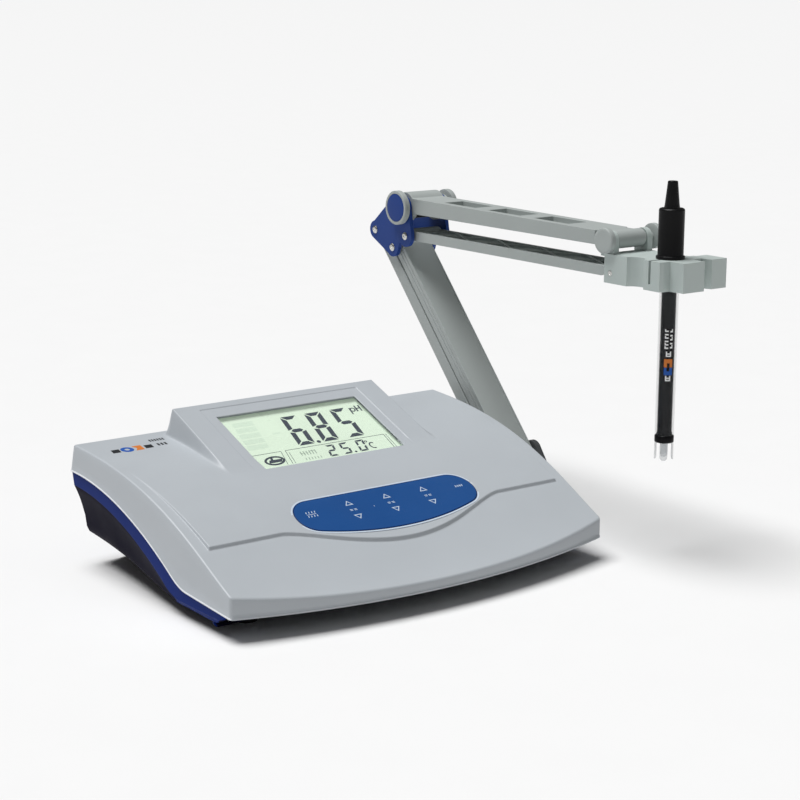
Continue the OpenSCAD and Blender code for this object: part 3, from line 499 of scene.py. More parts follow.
def top_height(x, y):
    """Height of the upper case's outer surface: deck, raised panel and display hood."""
    raised = smooth_step((panel_edge(y) - np.abs(x)) / 0.5) * smooth_step((y - step_edge(x)) / 0.4)
    deck = deck_height(y) + (panel_height(y) - deck_height(y)) * raised
    front = HOOD_FRONT_Z + HOOD_RISE * (y - HOOD_FRONT_Y)
    recess = smooth_step((FACIA_HALF - np.abs(x)) / 0.25) * smooth_step((FACIA_BACK_Y - y) / 0.25)
    recess = recess * np.clip((y - HOOD_FRONT_Y - 1) / 6, 0, 1)
    rear = HOOD_TOP_Z + (HOOD_BACK_Y - y) * 2.6
    hood = soft_min(front, rear, 1.2)
    lift = soft_max(hood - deck, 0, 0.5) * (y > HOOD_FRONT_Y - 4)
    flank = soft_max(soft_min(1 + 0 * x, 1 - (np.abs(x) - HOOD_HALF) / 2.6, 0.2), 0, 0.35)
    return deck + lift * flank - FACIA_DEPTH * recess * (lift > 0.5)


def case_grid():
    """Plan positions of the upper case's grid, whose lines follow the step, the panel and the outline."""
    us = mirrored(stations(0, HALF_BACK, 4, [0, WINDOW_HALF_W] + around(WINDOW_HALF_W, (0.1, 0.25, 0.5, 1))
                           + around(FACIA_HALF, FINE) + around(137, FINE)
                           + around(HOOD_HALF, HOOD_STEPS)
                           + [HALF_BACK - s for s in EDGE_STEPS]))
    vs = stations(FRONT_Y, BACK_Y, 4, around(-68, FINE) + around(HOOD_FRONT_Y, (-1, -0.4, 0, 0.4, 1, 2))
                  + [WINDOW_FRONT_Y - s for s in (0, 0.1, 0.25, 0.5, 1)]
                  + [WINDOW_BACK_Y + s for s in (0, 0.1, 0.25, 0.5, 1)]
                  + around(FACIA_BACK_Y, FINE) + around(HOOD_BACK_Y, FINE)
                  + around(HOOD_BACK_Y, (2.5, 3.5, 4.5, 5.5, 6.2, 6.8, 7.4, 8.2, 9.5))
                  + [FRONT_Y + s for s in EDGE_STEPS] + [BACK_Y - s for s in EDGE_STEPS])
    u, v = np.meshgrid(us, vs)
    x, y = u.copy(), v.copy()
    for _ in range(4):
        edge, step = front_edge(x), step_edge(x)
        y = piecewise(v, (FRONT_Y, FRONT_Y + 8, -71, -65, -20, BACK_Y),
                      (edge, edge + 8, step - 3, step + 3, -20 + 0 * x, BACK_Y + 0 * x))
        inner, outer = panel_edge(y), side_edge(y)
        x = np.sign(u) * piecewise(np.abs(u), (0, 84, 134, 140, HALF_BACK),
                                   (0 * y, 84 + 0 * y, inner - 3, inner + 3, outer))
    return us, vs, x, y


def round_corners(x, y):
    """Rounds the four plan corners. Returns the moved points and their distance from the outline."""
    dx, front, back = side_edge(y) - np.abs(x), y - front_edge(x), BACK_Y - y
    dy = np.minimum(front, back)
    a, b = 1 - dx / CORNER_R, 1 - dy / CORNER_R
    corner = (a > 0) & (b > 0)
    a, b = np.clip(a, 0, 1), np.clip(b, 0, 1)
    a2, b2 = a * np.sqrt(1 - b * b / 2), b * np.sqrt(1 - a * a / 2)
    new_x = np.sign(x) * (side_edge(y) - CORNER_R * (1 - a2))
    inset = CORNER_R * (1 - b2)
    new_y = np.where(front < back, front_edge(new_x) + inset, BACK_Y - inset)
    distance = np.where(corner, CORNER_R * (1 - np.hypot(a2, b2)), np.minimum(dx, dy))
    return np.where(corner, new_x, x), np.where(corner, new_y, y), np.clip(distance, 0, None)


def add_wall(obj):
    """Gives a skin of the case its wall, inwards."""
    solid = obj.modifiers.new("wall", "SOLIDIFY")
    solid.thickness = WALL * MM
    solid.offset = -1


def upper_case():
    us, vs, x, y = case_grid()
    x, y, distance = round_corners(x, y)
    z = top_height(x, y) - fillet_drop(distance, EDGE_R)
    window = np.maximum(np.abs(x) - WINDOW_HALF_W, np.abs(y - WINDOW_Y) - (WINDOW_BACK_Y - WINDOW_Y))
    z -= fillet_drop(np.clip(window, 0, None), 0.5) * (z > deck_height(y) + 1)
    verts = list(np.stack([x, y, z], axis=2).reshape(-1, 3))
    wide = len(us)
    faces = []
    key_mid = np.mean(box_mm("keypad_overlay"), axis=0)
    for j in range(len(vs) - 1):
        for i in range(wide - 1):
            mid_x, mid_y = x[j:j + 2, i:i + 2].mean(), y[j:j + 2, i:i + 2].mean()
            in_window = abs(mid_x) < WINDOW_HALF_W and WINDOW_FRONT_Y < mid_y < WINDOW_BACK_Y
            key_u = (mid_x - key_mid[0]) / KEY_WELL_HALF
            under_keys = key_u ** 4 + ((mid_y - key_mid[1] - 4.8 * key_u ** 2) / KEY_WELL_HALF_Y) ** 2 < 1
            if not in_window and not under_keys:
                a = j * wide + i
                faces.append((a, a + 1, a + wide + 1, a + wide))
    front_row, back_row = list(range(wide)), [(len(vs) - 1) * wide + i for i in range(wide - 2, -1, -1)]
    right_column = [j * wide + wide - 1 for j in range(1, len(vs))]
    left_column = [j * wide for j in range(len(vs) - 2, 0, -1)]
    ring = front_row + right_column + back_row + left_column
    edge = np.array([verts[i] for i in ring])
    along = np.roll(edge, -1, 0) - np.roll(edge, 1, 0)
    outward = np.stack([along[:, 1], -along[:, 0]], 1)
    outward /= np.linalg.norm(outward, axis=1)[:, None]
    bottom = seam_height(edge[:, 1])
    rows = [ring]

    def add_row(points, heights):
        rows.append(list(range(len(verts), len(verts) + len(ring))))
        verts.extend(np.column_stack([points, heights]))

    for part in (0.25, 0.5, 0.75):
        add_row(edge[:, :2], edge[:, 2] + (bottom + 1.5 - edge[:, 2]) * part)
    add_row(edge[:, :2], bottom + 1.5)
    for out, up in ((0.15, 1.3), (0.3, 1.1), (0.35, 0.8), (0.35, 0.3), (0.25, 0.08), (0.1, 0)):
        add_row(edge[:, :2] + outward * out, bottom + up)
    inner_x = np.sign(edge[:, 0]) * np.minimum(np.abs(edge[:, 0]), side_edge(edge[:, 1]) - 3)
    inner_y = np.clip(edge[:, 1], front_edge(inner_x) + 17, BACK_Y - 3)
    add_row(np.column_stack([inner_x, inner_y]), bottom)
    faces += rows_of_quads([r + [r[0]] for r in rows], False)
    obj = add_object("look_upper_case", leaned(verts), faces, FINISH["case_grey"], "case", "case_grey", 50)
    obj.data.materials.append(LIP_PAINTED_HIGHLIGHT)
    # Painted highlight: side-facing faces of the lip rows at the seam take the near-white.
    for polygon in list(obj.data.polygons)[-6 * len(ring):-2 * len(ring)]:
        if abs(polygon.normal.x) > 0.7:
            polygon.material_index = 1
    add_wall(obj)
    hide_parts("upper_case")


def lower_front(x):
    """Y of the lower case's front wall under the seam: set back in the middle, forward only at its two ends."""
    set_back = LOWER_SET_BACK * smooth_step((SET_BACK_HALF - abs(x)) / SET_BACK_SOFT)
    return LOWER_FRONT_Y + x * x / (2 * LOWER_BOW_R) + set_back


def lower_path():
    """Plan path of the lower case from the back left corner round the front: x, y and inward direction."""
    back = BACK_Y - 1
    ys = list(np.linspace(back, -34, 36)) + list(np.linspace(-38, lower_front(140) + 4, 9))
    left = [(1 - side_edge(y), y, 0.0) for y in ys]
    turn_x, turn_y = left[-1][0] + 4, left[-1][1]
    left += [(turn_x - 4 * math.cos(a), turn_y - 4 * math.sin(a), a)
             for a in np.radians((15, 30, 45, 60, 75, 90))]
    left += [(x, lower_front(x), math.pi / 2) for x in np.linspace(turn_x + 4, 0, 24)]
    return left + [(-x, y, math.pi - turn) for x, y, turn in left[-2::-1]]


def cove_point(y, t):
    """Inset and height of the cove, from the band's lower edge at t = 0 to the underside at t = 1."""
    band = float(band_height(y))
    foot = np.interp(y, (-60, -19, 17, 50, BACK_Y), (137.4, 132.8, 128.4, 120.9, 110.8))
    reach = max(4.5, float(side_edge(y) - 1 - foot))
    heights = np.interp(t, (0, 0.2, 0.42, 0.6, 0.66, 1), (1, 0.79, 0.58, 0.42, 0.37, 0))
    inset = reach * np.interp(t, (0, 0.1, 0.2, 0.42, 0.6, 0.66, 1), (0, 0.07, 0.13, 0.215, 0.245, 0.28, 1))
    return float(inset), float(BOTTOM_Z + heights * (band - BOTTOM_Z))


def leaned(verts):
    """The back wall leans: its top edge stands forward of the parting line."""
    moved = []
    for x, y, z in verts:
        ramp = min(max((y - BACK_Y + 10) / 10, 0), 1)
        moved.append((x, y + ramp * float(np.interp(z, (54, 62.7, 81.2), (0, 2.5, -3.5))), z))
    return moved


def lower_case():
    """Lower case: coloured band, concave cove, slanted front end, and a back wall open for the rear panel. Its
    cove, bottom and downward faces carry painted shade, a dark navy in place of the blue.
    """
    panel_low, panel_high = box_mm("rear_panel")
    back = BACK_Y - 1
    fine = np.linspace(0, 1, 2001)
    cut = fine[np.argmin([abs(cove_point(back, t)[1] - panel_low[2]) for t in fine])]
    steps = sorted(set(np.round(np.linspace(0, 1, 13), 4)) | {round(float(cut), 4)})
    columns = []
    for px, py, turn in lower_path():
        seam, band = float(seam_height(py)), float(band_height(py))
        points = [(3.0, seam - 0.05), (0.6, seam - 0.05), (0.15, seam - 0.2), (0.0, seam - 0.6)]
        points += [(0.0, seam + (band - seam) * t) for t in (0.3, 0.6, 0.9)]
        points += [cove_point(py, t) for t in steps]
        near = np.clip(1 - (py - float(lower_front(px))) / 40, 0, 1) ** 2
        column = []
        for inset, height in points:
            low_down = np.clip((SLANT_TOP_Z - height) / 11, 0, 1)
            slant = SLANT * low_down * near
            height += FRONT_LIFT * low_down * np.clip((20 - py) / 50, 0, 1)
            column.append((px + inset * math.cos(turn), py + inset * math.sin(turn) + slant, height))
        columns.append(column)
    count, tall = len(columns), len(columns[0])
    verts = [point for column in columns for point in column]
    faces = [(c * tall + r, c * tall + r + 1, (c + 1) * tall + r + 1, (c + 1) * tall + r)
             for c in range(count - 1) for r in range(tall - 1)]
    # Strips from side to side close the underside; the foremost ones reach past the set-back front wall.
    last = tall - 1
    faces += [tuple(column * tall + last for column in (c, c + 1, count - 2 - c, count - 1 - c))
              for c in range(count // 2)]
    posts = []
    for r in range(tall):
        y, height = columns[0][r][1:]
        posts.append((r, len(verts), len(verts) + 1, (count - 1) * tall + r))
        verts += [(panel_low[0], y, height), (panel_high[0], y, height)]
    for upper, lower in zip(posts[1:-1], posts[2:]):
        opening = verts[lower[1]][2] >= panel_low[2] - 0.1 and verts[upper[1]][2] <= band_height(back) + 0.1
        for side in (0, 1, 2):
            if side != 1 or not opening:
                faces.append((upper[side], upper[side + 1], lower[side + 1], lower[side]))
    obj = add_object("look_lower_case", leaned(verts), faces, FINISH["band_blue"], "case", "band_blue", 30)
    obj.data.materials.append(COVE_PAINTED_SHADE)
    # Painted shade: faces in the cove below the band, on the bottom and facing down take the dark navy instead of
    # the blue.
    for polygon in obj.data.polygons:
        centre = polygon.center / MM
        hollow = centre.z < band_height(centre.y) - 0.3 and COVE_SHADE_FRONT_Y < centre.y < back - 0.5
        under = centre.z < BAND_LOW_Z + 4 and abs(centre.x) < side_edge(centre.y) - 6
        if hollow or under or polygon.normal.z < -0.8:
            polygon.material_index = 1
    add_wall(obj)
    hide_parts("lower_case")


# ---- printed shapes and plates ----


def on_slope(x, y, z, tilt):
    """Places points in a tilted face's own axes: across, up the slope and out of the face."""
    up, out = math.sin(tilt), math.cos(tilt)
    return lambda u, v, w: (x + u, y + v * out - w * up, z + v * up + w * out)


on_window = on_slope(0, WINDOW_Y, WINDOW_Z, HOOD_TILT)
on_keypad = on_slope(KEYPAD_X, KEYPAD_Y, KEYPAD_Z, KEYPAD_TILT)


def on_deck(x, y, w):
    return x, y, float(top_height(np.array(x, float), np.array(y, float))) + w


def plates(name, shapes, place, low, high, material, body, slot=None):
    """Thin plates on a surface. A shape is an outline, or a pair of outlines with as many points for a ring."""
    verts, faces = [], []
    for shape in shapes:
        ring = isinstance(shape, tuple)
        rows = []
        for loop, heights in zip(shape if ring else (shape,), ((low, high), (high, low))):
            for w in heights:
                add_ring(verts, rows, [place(u, v, w) for u, v in loop])
        if ring:
            faces += rows_of_quads(rows + rows[:1], True)
        else:
            faces += rows_of_quads(rows, True) + capped(rows)
    return add_object(name, verts, faces, material, body, slot)


def box_outline(u0, v0, u1, v1):
    return [(u0, v0), (u1, v0), (u1, v1), (u0, v1)]


def oval(u, v, half_w, half_h, count=32, lean=0.0):
    turns = [2 * math.pi * i / count for i in range(count)]
    return [(u + half_w * math.cos(a) + lean * half_h * math.sin(a), v + half_h * math.sin(a)) for a in turns]


def stroke(a, b, width):
    a, b = np.array(a, float), np.array(b, float)
    along = (b - a) / np.linalg.norm(b - a)
    side = np.array((-along[1], along[0])) * width / 2
    return [tuple(a - side), tuple(b - side), tuple(b + side), tuple(a + side)]


def ticks(a, b, pitch, count, width):
    """A row of equal strokes; the first runs from a to b."""
    return [stroke((a[0] + pitch * i, a[1]), (b[0] + pitch * i, b[1]), width) for i in range(count)]


SEGMENTS = {"0": "abcdef", "2": "abged", "5": "afgcd", "6": "afgedc", "8": "abcdefg"}


def digit(char, u, v, width, height, bar, lean):
    """The bars of a seven-bar digit whose lower left corner is at u, v."""
    mid, gap = height / 2, bar * 0.16
    top = [(gap, height), (width - gap, height), (width - bar - gap, height - bar), (bar + gap, height - bar)]
    left = [(0, height - 1.5 * gap), (bar, height - bar - 1.5 * gap), (bar, mid + bar / 2 + gap),
            (0, mid + 2 * gap)]
    middle = [(0.3 * bar + gap, mid), (0.8 * bar + gap, mid + bar / 2),
              (width - 0.8 * bar - gap, mid + bar / 2), (width - 0.3 * bar - gap, mid),
              (width - 0.8 * bar - gap, mid - bar / 2), (0.8 * bar + gap, mid - bar / 2)]
    bars = {"a": top, "g": middle, "f": left,
            "d": [(a, height - b) for a, b in top], "e": [(a, height - b) for a, b in left],
            "b": [(width - a, b) for a, b in left], "c": [(width - a, height - b) for a, b in left]}
    return [[(u + a + lean * b / height, v + b) for a, b in bars[key]] for key in SEGMENTS[char]]


# ---- display ----


def display():
    """Window plate, and everything that the liquid crystal cell shows."""
    low, high = box_mm("display_window")
    half_w = (high[0] - low[0]) / 2
    half_l = ((high[1] - low[1]) - 1.5 * math.sin(HOOD_TILT)) / 2 / math.cos(HOOD_TILT)
    window = plates("look_display_window", [box_outline(-half_w, -half_l, half_w, half_l)], on_window,
                    -CELL_DEPTH + 0.4, -WALL - 0.2, FINISH["window_clear"], "case", "window_clear")
    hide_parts("display_window")
    dark = []
    for char, u in (("6", -14.3), ("8", 4.9), ("5", 25.5)):
        dark += digit(char, u, -8.4, 12.6, 33.4, 3.6, 4.8)
    dark.append(oval(1.7, -7.4, 1.5, 1.5, 20))
    for char, u in (("2", 0.2), ("5", 11.0), ("0", 24.0)):
        dark += digit(char, u, -25.2, 6.6, 12.4, 1.6, 2.6)
    dark.append(oval(20.6, -24.4, 0.9, 0.9, 14))
    dark += [stroke((44.9, 16.2), (46.0, 23.6), 1.0), stroke((50.4, 18.6), (51.2, 25.4), 1.1),
             stroke((53.7, 18.6), (54.4, 25.4), 1.1), stroke((51.0, 22.1), (53.9, 22.1), 1.0)]
    dark.append((oval(47.6, 21.2, 2.2, 2.4, 24, 0.12), oval(47.6, 21.2, 1.3, 1.5, 24, 0.12)))
    dark.append((oval(-40.1, -19.6, 7.6, 4.9, 40, 0.1), oval(-40.1, -19.6, 5.9, 3.3, 40, 0.1)))
    dark.append([(-45.2, -21.6), (-35.4, -21.6), (-34.0, -18.6), (-43.8, -18.6)])
    dark.append(stroke((-41.6, -18.8), (-40.6, -15.2), 1.7))
    line = [stroke(*ends) for ends in (
        ((-52.6, -11.0), (-30.4, -11.0), 0.35), ((-30.4, -11.2), (-33.6, -25.6), 0.35),
        ((-52.6, -11.2), (-55.4, -25.6), 0.35), ((-27.0, -11.0), (51.6, -11.0), 0.35),
        ((-27.0, -11.2), (-29.8, -25.6), 0.35), ((-25.4, -13.4), (-27.6, -25.6), 0.3),
        ((51.6, -11.2), (50.4, -26.5), 0.4), ((53.4, -11.2), (52.4, -26.5), 0.3))]
    line.append((oval(34.0, -15.6, 1.1, 1.1, 16), oval(34.0, -15.6, 0.5, 0.5, 16)))
    turns = [math.radians(a) for a in range(50, 320, 30)]
    curve = [(36.8 + 2.4 * math.cos(a), -20.8 + 3.2 * math.sin(a)) for a in turns]
    line += [stroke(a, b, 1.0) for a, b in zip(curve, curve[1:])]
    faint = ticks((-18.4, -19.2), (-17.8, -14.8), 2.2, 6, 0.7)
    faint += [stroke((-18.8, -17.0), (-12.6, -17.0), 0.4), stroke((-11.6, -15.6), (-6.6, -15.6), 0.4)]
    faint += ticks((-18.2, -24.6), (-17.8, -22.2), 2.3, 6, 0.6)
    ghost = [[(-47.2 - 3 + 0.15 * v, v), (-31.6 - 3 + 0.15 * v, v), (-31.6 - 3 + 0.15 * (v + 5), v + 5),
              (-47.2 - 3 + 0.15 * (v + 5), v + 5)] for v in (-5.0, 1.6, 8.2, 14.8, 21.4)]
    ghost.append(stroke((-24.6, 8.8), (-18.6, 8.8), 1.6))
    for name, shapes, top, colour in (("dark", dark, 0.1, INK_DARK), ("line", line, 0.08, INK_DARK),
                                      ("faint", faint, 0.06, INK_FAINT), ("ghost", ghost, 0.03, INK_GHOST)):
        plates("print_" + name, shapes, on_window, -CELL_DEPTH - 0.05, -CELL_DEPTH + top, colour, "case")


# ---- keypad ----

END_R, END_X, END_V, LOW_V = 15.3, 53.7, 4.0, 20.0
KEY_R, KEY_HOLE_R = 5.0, 5.02
LEGEND_LOW, LEGEND_TOP = 0.74, 0.84
KEYS = ("key_mode", "key_temp_up", "key_temp_down", "key_slope_up", "key_slope_down", "key_offset_up",
        "key_offset_down", "key_confirm")


def keypad_outline(m):
    """Keypad outline drawn in by m: straight top edge, round ends, bowed lower edge."""
    drop = LOW_V + END_V
    arc_r = (END_X ** 2 + drop ** 2 - END_R ** 2) / (2 * (drop - END_R))
    arc_v = arc_r - LOW_V
    lean = math.atan2(END_X, arc_v - END_V)
    points = [(x, END_V + END_R - m) for x in np.linspace(-END_X, END_X, 24)]

    def arc(u, v, r, start, end, count):
        points.extend((u + r * math.cos(a), v + r * math.sin(a)) for a in np.linspace(start, end, count)[1:])

    down = -math.pi / 2
    arc(END_X, END_V, END_R - m, math.pi / 2, down + lean, 22)
    arc(0, arc_v, arc_r - m, down + lean, down - lean, 44)
    arc(-END_X, END_V, END_R - m, down - lean, -3 * math.pi / 2, 22)
    return points[:-1]


def key_centre(node):
    """A key's place in the keypad's own axes, from the foremost point of its flat top."""
    low, high = box_mm(node)
    v = (low[1] - KEYPAD_Y + 0.8 * math.sin(KEYPAD_TILT)) / math.cos(KEYPAD_TILT) + KEY_R
    return (low[0] + high[0]) / 2 - KEYPAD_X, v


def legend(node, u, v):
    """What a key shows round u, v: a triangle for up and down, else rows of short strokes."""
    if node == "key_mode":
        return (ticks((u - 3.2, v + 1.7 - 0.8), (u - 2.8, v + 1.7 + 0.8), 2.1, 4, 0.6)
                + ticks((u - 3.2, v - 2.0 - 0.8), (u - 2.8, v - 2.0 + 0.8), 2.1, 4, 0.6)
                + [stroke((u - 3.4, v - 0.2), (u + 3.4, v - 0.2), 0.45)])
    if node == "key_confirm":
        rows = ticks((u - 3.0, v - 1.0), (u - 2.8, v + 1.0), 1.7, 4, 0.6)
        return rows + [stroke((u - 3.0, v), (u + 2.4, v), 0.4)]
    turn = 1 if node.endswith("up") else -1
    outer = [(u - 3.0, v - 2.0 * turn), (u + 3.0, v - 2.0 * turn), (u, v + 2.4 * turn)]
    inner = [(u - 1.9, v - 1.4 * turn), (u + 1.9, v - 1.4 * turn), (u, v + 1.35 * turn)]
    return [(outer[::turn], inner[::turn])]


def keypad():
    centres = {node: key_centre(node) for node in KEYS}
    rings = [(0.0, 0.0), (0.0, 0.25), (0.12, 0.45), (0.45, 0.64), (1.0, 0.76), (1.6, 0.8)]
    rows, verts = [], []
    for m, w in rings:
        add_ring(verts, rows, [on_keypad(u, v, w) for u, v in keypad_outline(m)])
    faces = rows_of_quads(rows, True)
    holes = [oval(u, v, KEY_HOLE_R, KEY_HOLE_R, 48) for u, v in centres.values()]
    edges = []
    for w in (0.0, 0.8):
        edges.append([])
        for hole in holes:
            add_ring(verts, edges[-1], [on_keypad(u, v, w) for u, v in hole])
    for low_ring, high_ring in zip(*edges):
        faces += rows_of_quads([low_ring, high_ring], True)
    for outer, inner, m in ((rows[0], edges[0], 0.0), (rows[-1], edges[1], 1.6)):
        flat = [Vector((u, v, 0)) for u, v in keypad_outline(m)]
        loops = [flat] + [[Vector((u, v, 0)) for u, v in hole] for hole in holes]
        numbers = list(outer) + [i for ring in inner for i in ring]
        faces += [tuple(numbers[i] for i in triangle) for triangle in tessellate_polygon(loops)]
    overlay = add_object("look_keypad_overlay", verts, faces, FINISH["keypad_blue"], "case", "keypad_blue", 50)
    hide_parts("keypad_overlay")
    overlay.data.materials.append(KEYPAD_EDGE_PAINTED_SHADE)
    # Painted shade: the overlay's rounded edge takes the darker blue where it faces the front.
    for polygon in list(overlay.data.polygons)[:4 * len(keypad_outline(0))]:
        if polygon.normal.y < -0.05:
            polygon.material_index = 1
    # The bead round the keypad wears the painted highlight colour, lighter than the case.
    plates("keypad_rim", [(keypad_outline(-1.0), keypad_outline(0.04))], on_keypad, 0.0, 0.52, RIM_PAINTED_HIGHLIGHT, "case")
    for node, (u, v) in centres.items():
        from_cad(node, 0.02, 28)
        plates("legend_" + node, legend(node, u, v), on_keypad, LEGEND_LOW, LEGEND_TOP, INK_WHITE,
               BODY_OF[node])
    marks = []
    for upper, lower in (("key_temp_up", "key_temp_down"), ("key_slope_up", "key_slope_down"),
                         ("key_offset_up", "key_offset_down")):
        u = centres[upper][0]
        v = (centres[upper][1] + centres[lower][1]) / 2
        for left, right, rise in ((-2.6, -0.5, 0.5), (0.5, 2.6, 0.5), (-2.4, -0.6, -0.5), (0.7, 2.6, -0.5)):
            marks.append(stroke((u + left, v + rise), (u + right, v + rise), 0.5))
    marks.append(oval(-11.4, 2.6, 0.35, 0.35, 10))
    plates("legend_marks", marks, on_keypad, LEGEND_LOW, LEGEND_TOP, INK_WHITE, "case")


def deck_prints():
    """Small generic marks on the deck's rear left."""
    tilted = [[(x, y), (x + 5.6, y), (x + 4.6, y - 6), (x - 1, y - 6)]
              for x, y in ((-130.5, 78.5), (-107.0, 78.5))]
    ring = [(oval(-120.2, 75.6, 4.4, 4.6), oval(-120.2, 75.6, 1.7, 1.9))]
    flag = [[(-115.0, 80.0), (-108.6, 80.0), (-109.6, 71.5), (-115.6, 71.5), (-113.2, 75.6)]]
    small = ticks((-98.6, 83.4), (-98.2, 87.6), 1.9, 6, 1.1) + ticks((-97.4, 74.0), (-97.0, 78.4), 2.6, 3, 1.5)
    for name, shapes, top, colour in (("left", tilted, 0.05, INK_BLACK), ("blue", ring, 0.06, INK_BLUE),
                                      ("orange", flag, 0.06, INK_ORANGE), ("small", small, 0.05, INK_BLACK)):
        plates("mark_" + name, shapes, on_deck, -0.05, top, colour, "case")


# ---- arm ----


def turned(node, parts, segments=48):
    """The turned solids of one CAD node in one mesh; parts holds (profile, centre, axis)."""
    stand_in(node, *turned_mesh(parts, segments))


def pin_profile(half, radius, head_r, head_t):
    """A pin from end to end with a low domed head, with a small centre dimple, at each end."""
    end = [(head_r * 0.22, -half - head_t * 0.55), (head_r * 0.34, -half - head_t * 0.95),
           (head_r * 0.6, -half - head_t), (head_r * 0.85, -half - head_t * 0.75),
           (head_r, -half - head_t * 0.3), (head_r, -half), (radius, -half)]
    return end + [(r, -z) for r, z in reversed(end)]


def lower_link(node, start, end, offset, half, recess):
    """A bar of the lower arm: a channel section with rounded edges, swept between two pins."""
    length = float(np.linalg.norm(end - start))
    along = (end - start) / length
    out = np.array((-along[1], along[0]))
    wide = (box_mm(node)[1][0] - box_mm(node)[0][0]) / 2
    if recess:
        front = [(wide - 0.3, half), (wide - 1.0, half), (wide - 1.35, half - 0.75)]
        side = [(wide, half - 0.3), (wide, 2.6), (wide - 0.45, 2.2), (wide, 1.8), (wide, -0.4),
                (wide - 0.45, -0.8), (wide, -1.2), (wide, 0.4 - half)]
    else:
        front = [(wide - 0.4, half)]
        side = [(wide, half - 0.4), (wide, 0.4 - half)]
    back = [(wide - 0.4, -half), (wide - 2.2, -half), (wide - 2.4, 0.6), (wide - 3.0, 1.1)]
    right = list(reversed(front)) + side + back
    section = right + [(-x, n) for x, n in reversed(right)]
    ends = [half * math.sin(math.radians(a)) for a in (88, 80, 70, 58, 44, 28, 12)]
    near = [(-s, math.sqrt(1 - (s / half) ** 2)) for s in ends]
    places = near + [(0, 1)] + [(length * t, 1) for t in (0.02, 0.5, 0.98)]
    places += [(length + s, k) for s, k in [(0, 1)] + [(-p, k) for p, k in reversed(near)]]
    verts, rows = [], []
    for s, k in places:
        rows.append(range(len(verts), len(verts) + len(section)))
        hollow = 0 if s < 12 or s > length - 12 else 1
        for x, n in section:
            if not hollow and abs(x) < wide - 2 and n < half - 1.2:
                n = -half + 0.15
            y, z = start + along * s + out * (offset + n * k)
            verts.append((ARM_X + x, y, z))
    stand_in(node, verts, rows_of_quads(rows, True) + capped(rows), 24)


def sweep(path, radius, segments=10):
    """Vertices and faces of a round wire along a path."""
    path = [Vector(p) for p in path]
    verts, rows = [], []
    side = Vector((1, 0, 0))
    for i, point in enumerate(path):
        along = (path[min(i + 1, len(path) - 1)] - path[max(i - 1, 0)]).normalized()
        side = (side - along * side.dot(along)).normalized()
        other = along.cross(side)
        add_ring(verts, rows, [point + radius * spoke for spoke in spokes(side, other, segments)])
    return verts, rows_of_quads(rows, True) + capped(rows)


def elbow():
    knob = [(10.4, 0.62), (10.4, 0.15), (10.55, 0.0), (11.9, 0.0), (12.3, 0.12), (12.5, 0.45), (12.5, 2.3),
            (12.3, 2.55), (12.3, 2.75), (12.5, 3.0), (12.5, 4.1), (12.2, 4.5), (9.2, 4.5), (9.0, 4.7), (9.0, 5.5)]
    disc = [(10.2, 0.58), (10.3, 0.25), (10.1, 0.1), (9.6, 0.0), (7.5, -0.12), (4.5, -0.2), (1.5, -0.24)]
    cap = [(7, 0), (7, 2.4), (10.5, 2.5), (10.9, 2.7), (11, 3.1), (11, 6.5), (10.8, 6.85), (10.4, 7.0), (8.6, 7.0),
           (8.3, 6.85), (8.2, 6.5), (5.0, 6.4)]
    for node, profile, seat in (("elbow_knob", knob, "elbow_knob"), ("knob_disc", disc, "elbow_knob"),
                                ("elbow_end_disc", cap, "elbow_end_disc")):
        turned(node, [(profile, (box_mm(seat)[0][0], *ELBOW_TOP), ACROSS)], 96)
    half = (box_mm("elbow_plate_right")[1][0] - box_mm("elbow_plate_left")[0][0]) / 2 - 0.02
    places = (ELBOW_REAR_PIN, ELBOW_FRONT_PIN, ELBOW_FRONT)
    turned("elbow_pins", [(pin_profile(half, 2, 2.9, 1.0), (ARM_X, *p), ACROSS) for p in places])
    half = (box_mm("base_pins")[1][0] - box_mm("base_pins")[0][0]) / 2 - 1.2
    places = (BASE_REAR_PIN, BASE_FRONT_PIN)
    turned("base_pins", [(pin_profile(half, 2, 3.4, 1.2), (ARM_X, *p), ACROSS) for p in places])
    low, high = box_mm("torsion_spring")
    wire_r, coil_r = 1.3, 7.6
    coil_low, coil_high = low[0] + wire_r, high[0] - wire_r
    turns = np.linspace(0, 2 * math.pi * 5.5, 150)
    path = [(coil_low + (coil_high - coil_low) * t / turns[-1], ELBOW_TOP[0] + coil_r * math.sin(t),
             ELBOW_TOP[1] - coil_r * math.cos(t)) for t in turns]
    stand_in("torsion_spring", *sweep(path, wire_r), 60)


def head():
    low, high = box_mm("head_shaft")
    shaft = [(5.5, 0.12), (7.4, 0.02), (8.1, 0.2), (8.45, 0.6), (8.5, 1.0), (8.5, 3.6), (8.35, 4.1), (7.9, 4.45),
             (2.5, 4.5), (2.5, 43.0), (7.9, 43.05), (8.35, 43.3), (8.5, 43.7), (8.5, 46.3), (8.3, 46.8),
             (7.8, 47.0), (5.6, 47.0), (5.1, 46.8), (5.0, 46.4), (5.0, 45.2)]
    turned("head_shaft", [(shaft, (low[0], *HEAD_TOP), ACROSS)], 80)
    low, high = box_mm("head_pin")
    end = [(0.5, 0.5), (0.8, 0.15), (1.4, 0.05), (1.85, 0.2), (2.0, 0.5)]
    pin = end + [(r, high[0] - low[0] - z) for r, z in reversed(end)]
    turned("head_pin", [(pin, (low[0] - 0.15, *((low[1:] + high[1:]) / 2)), ACROSS)])


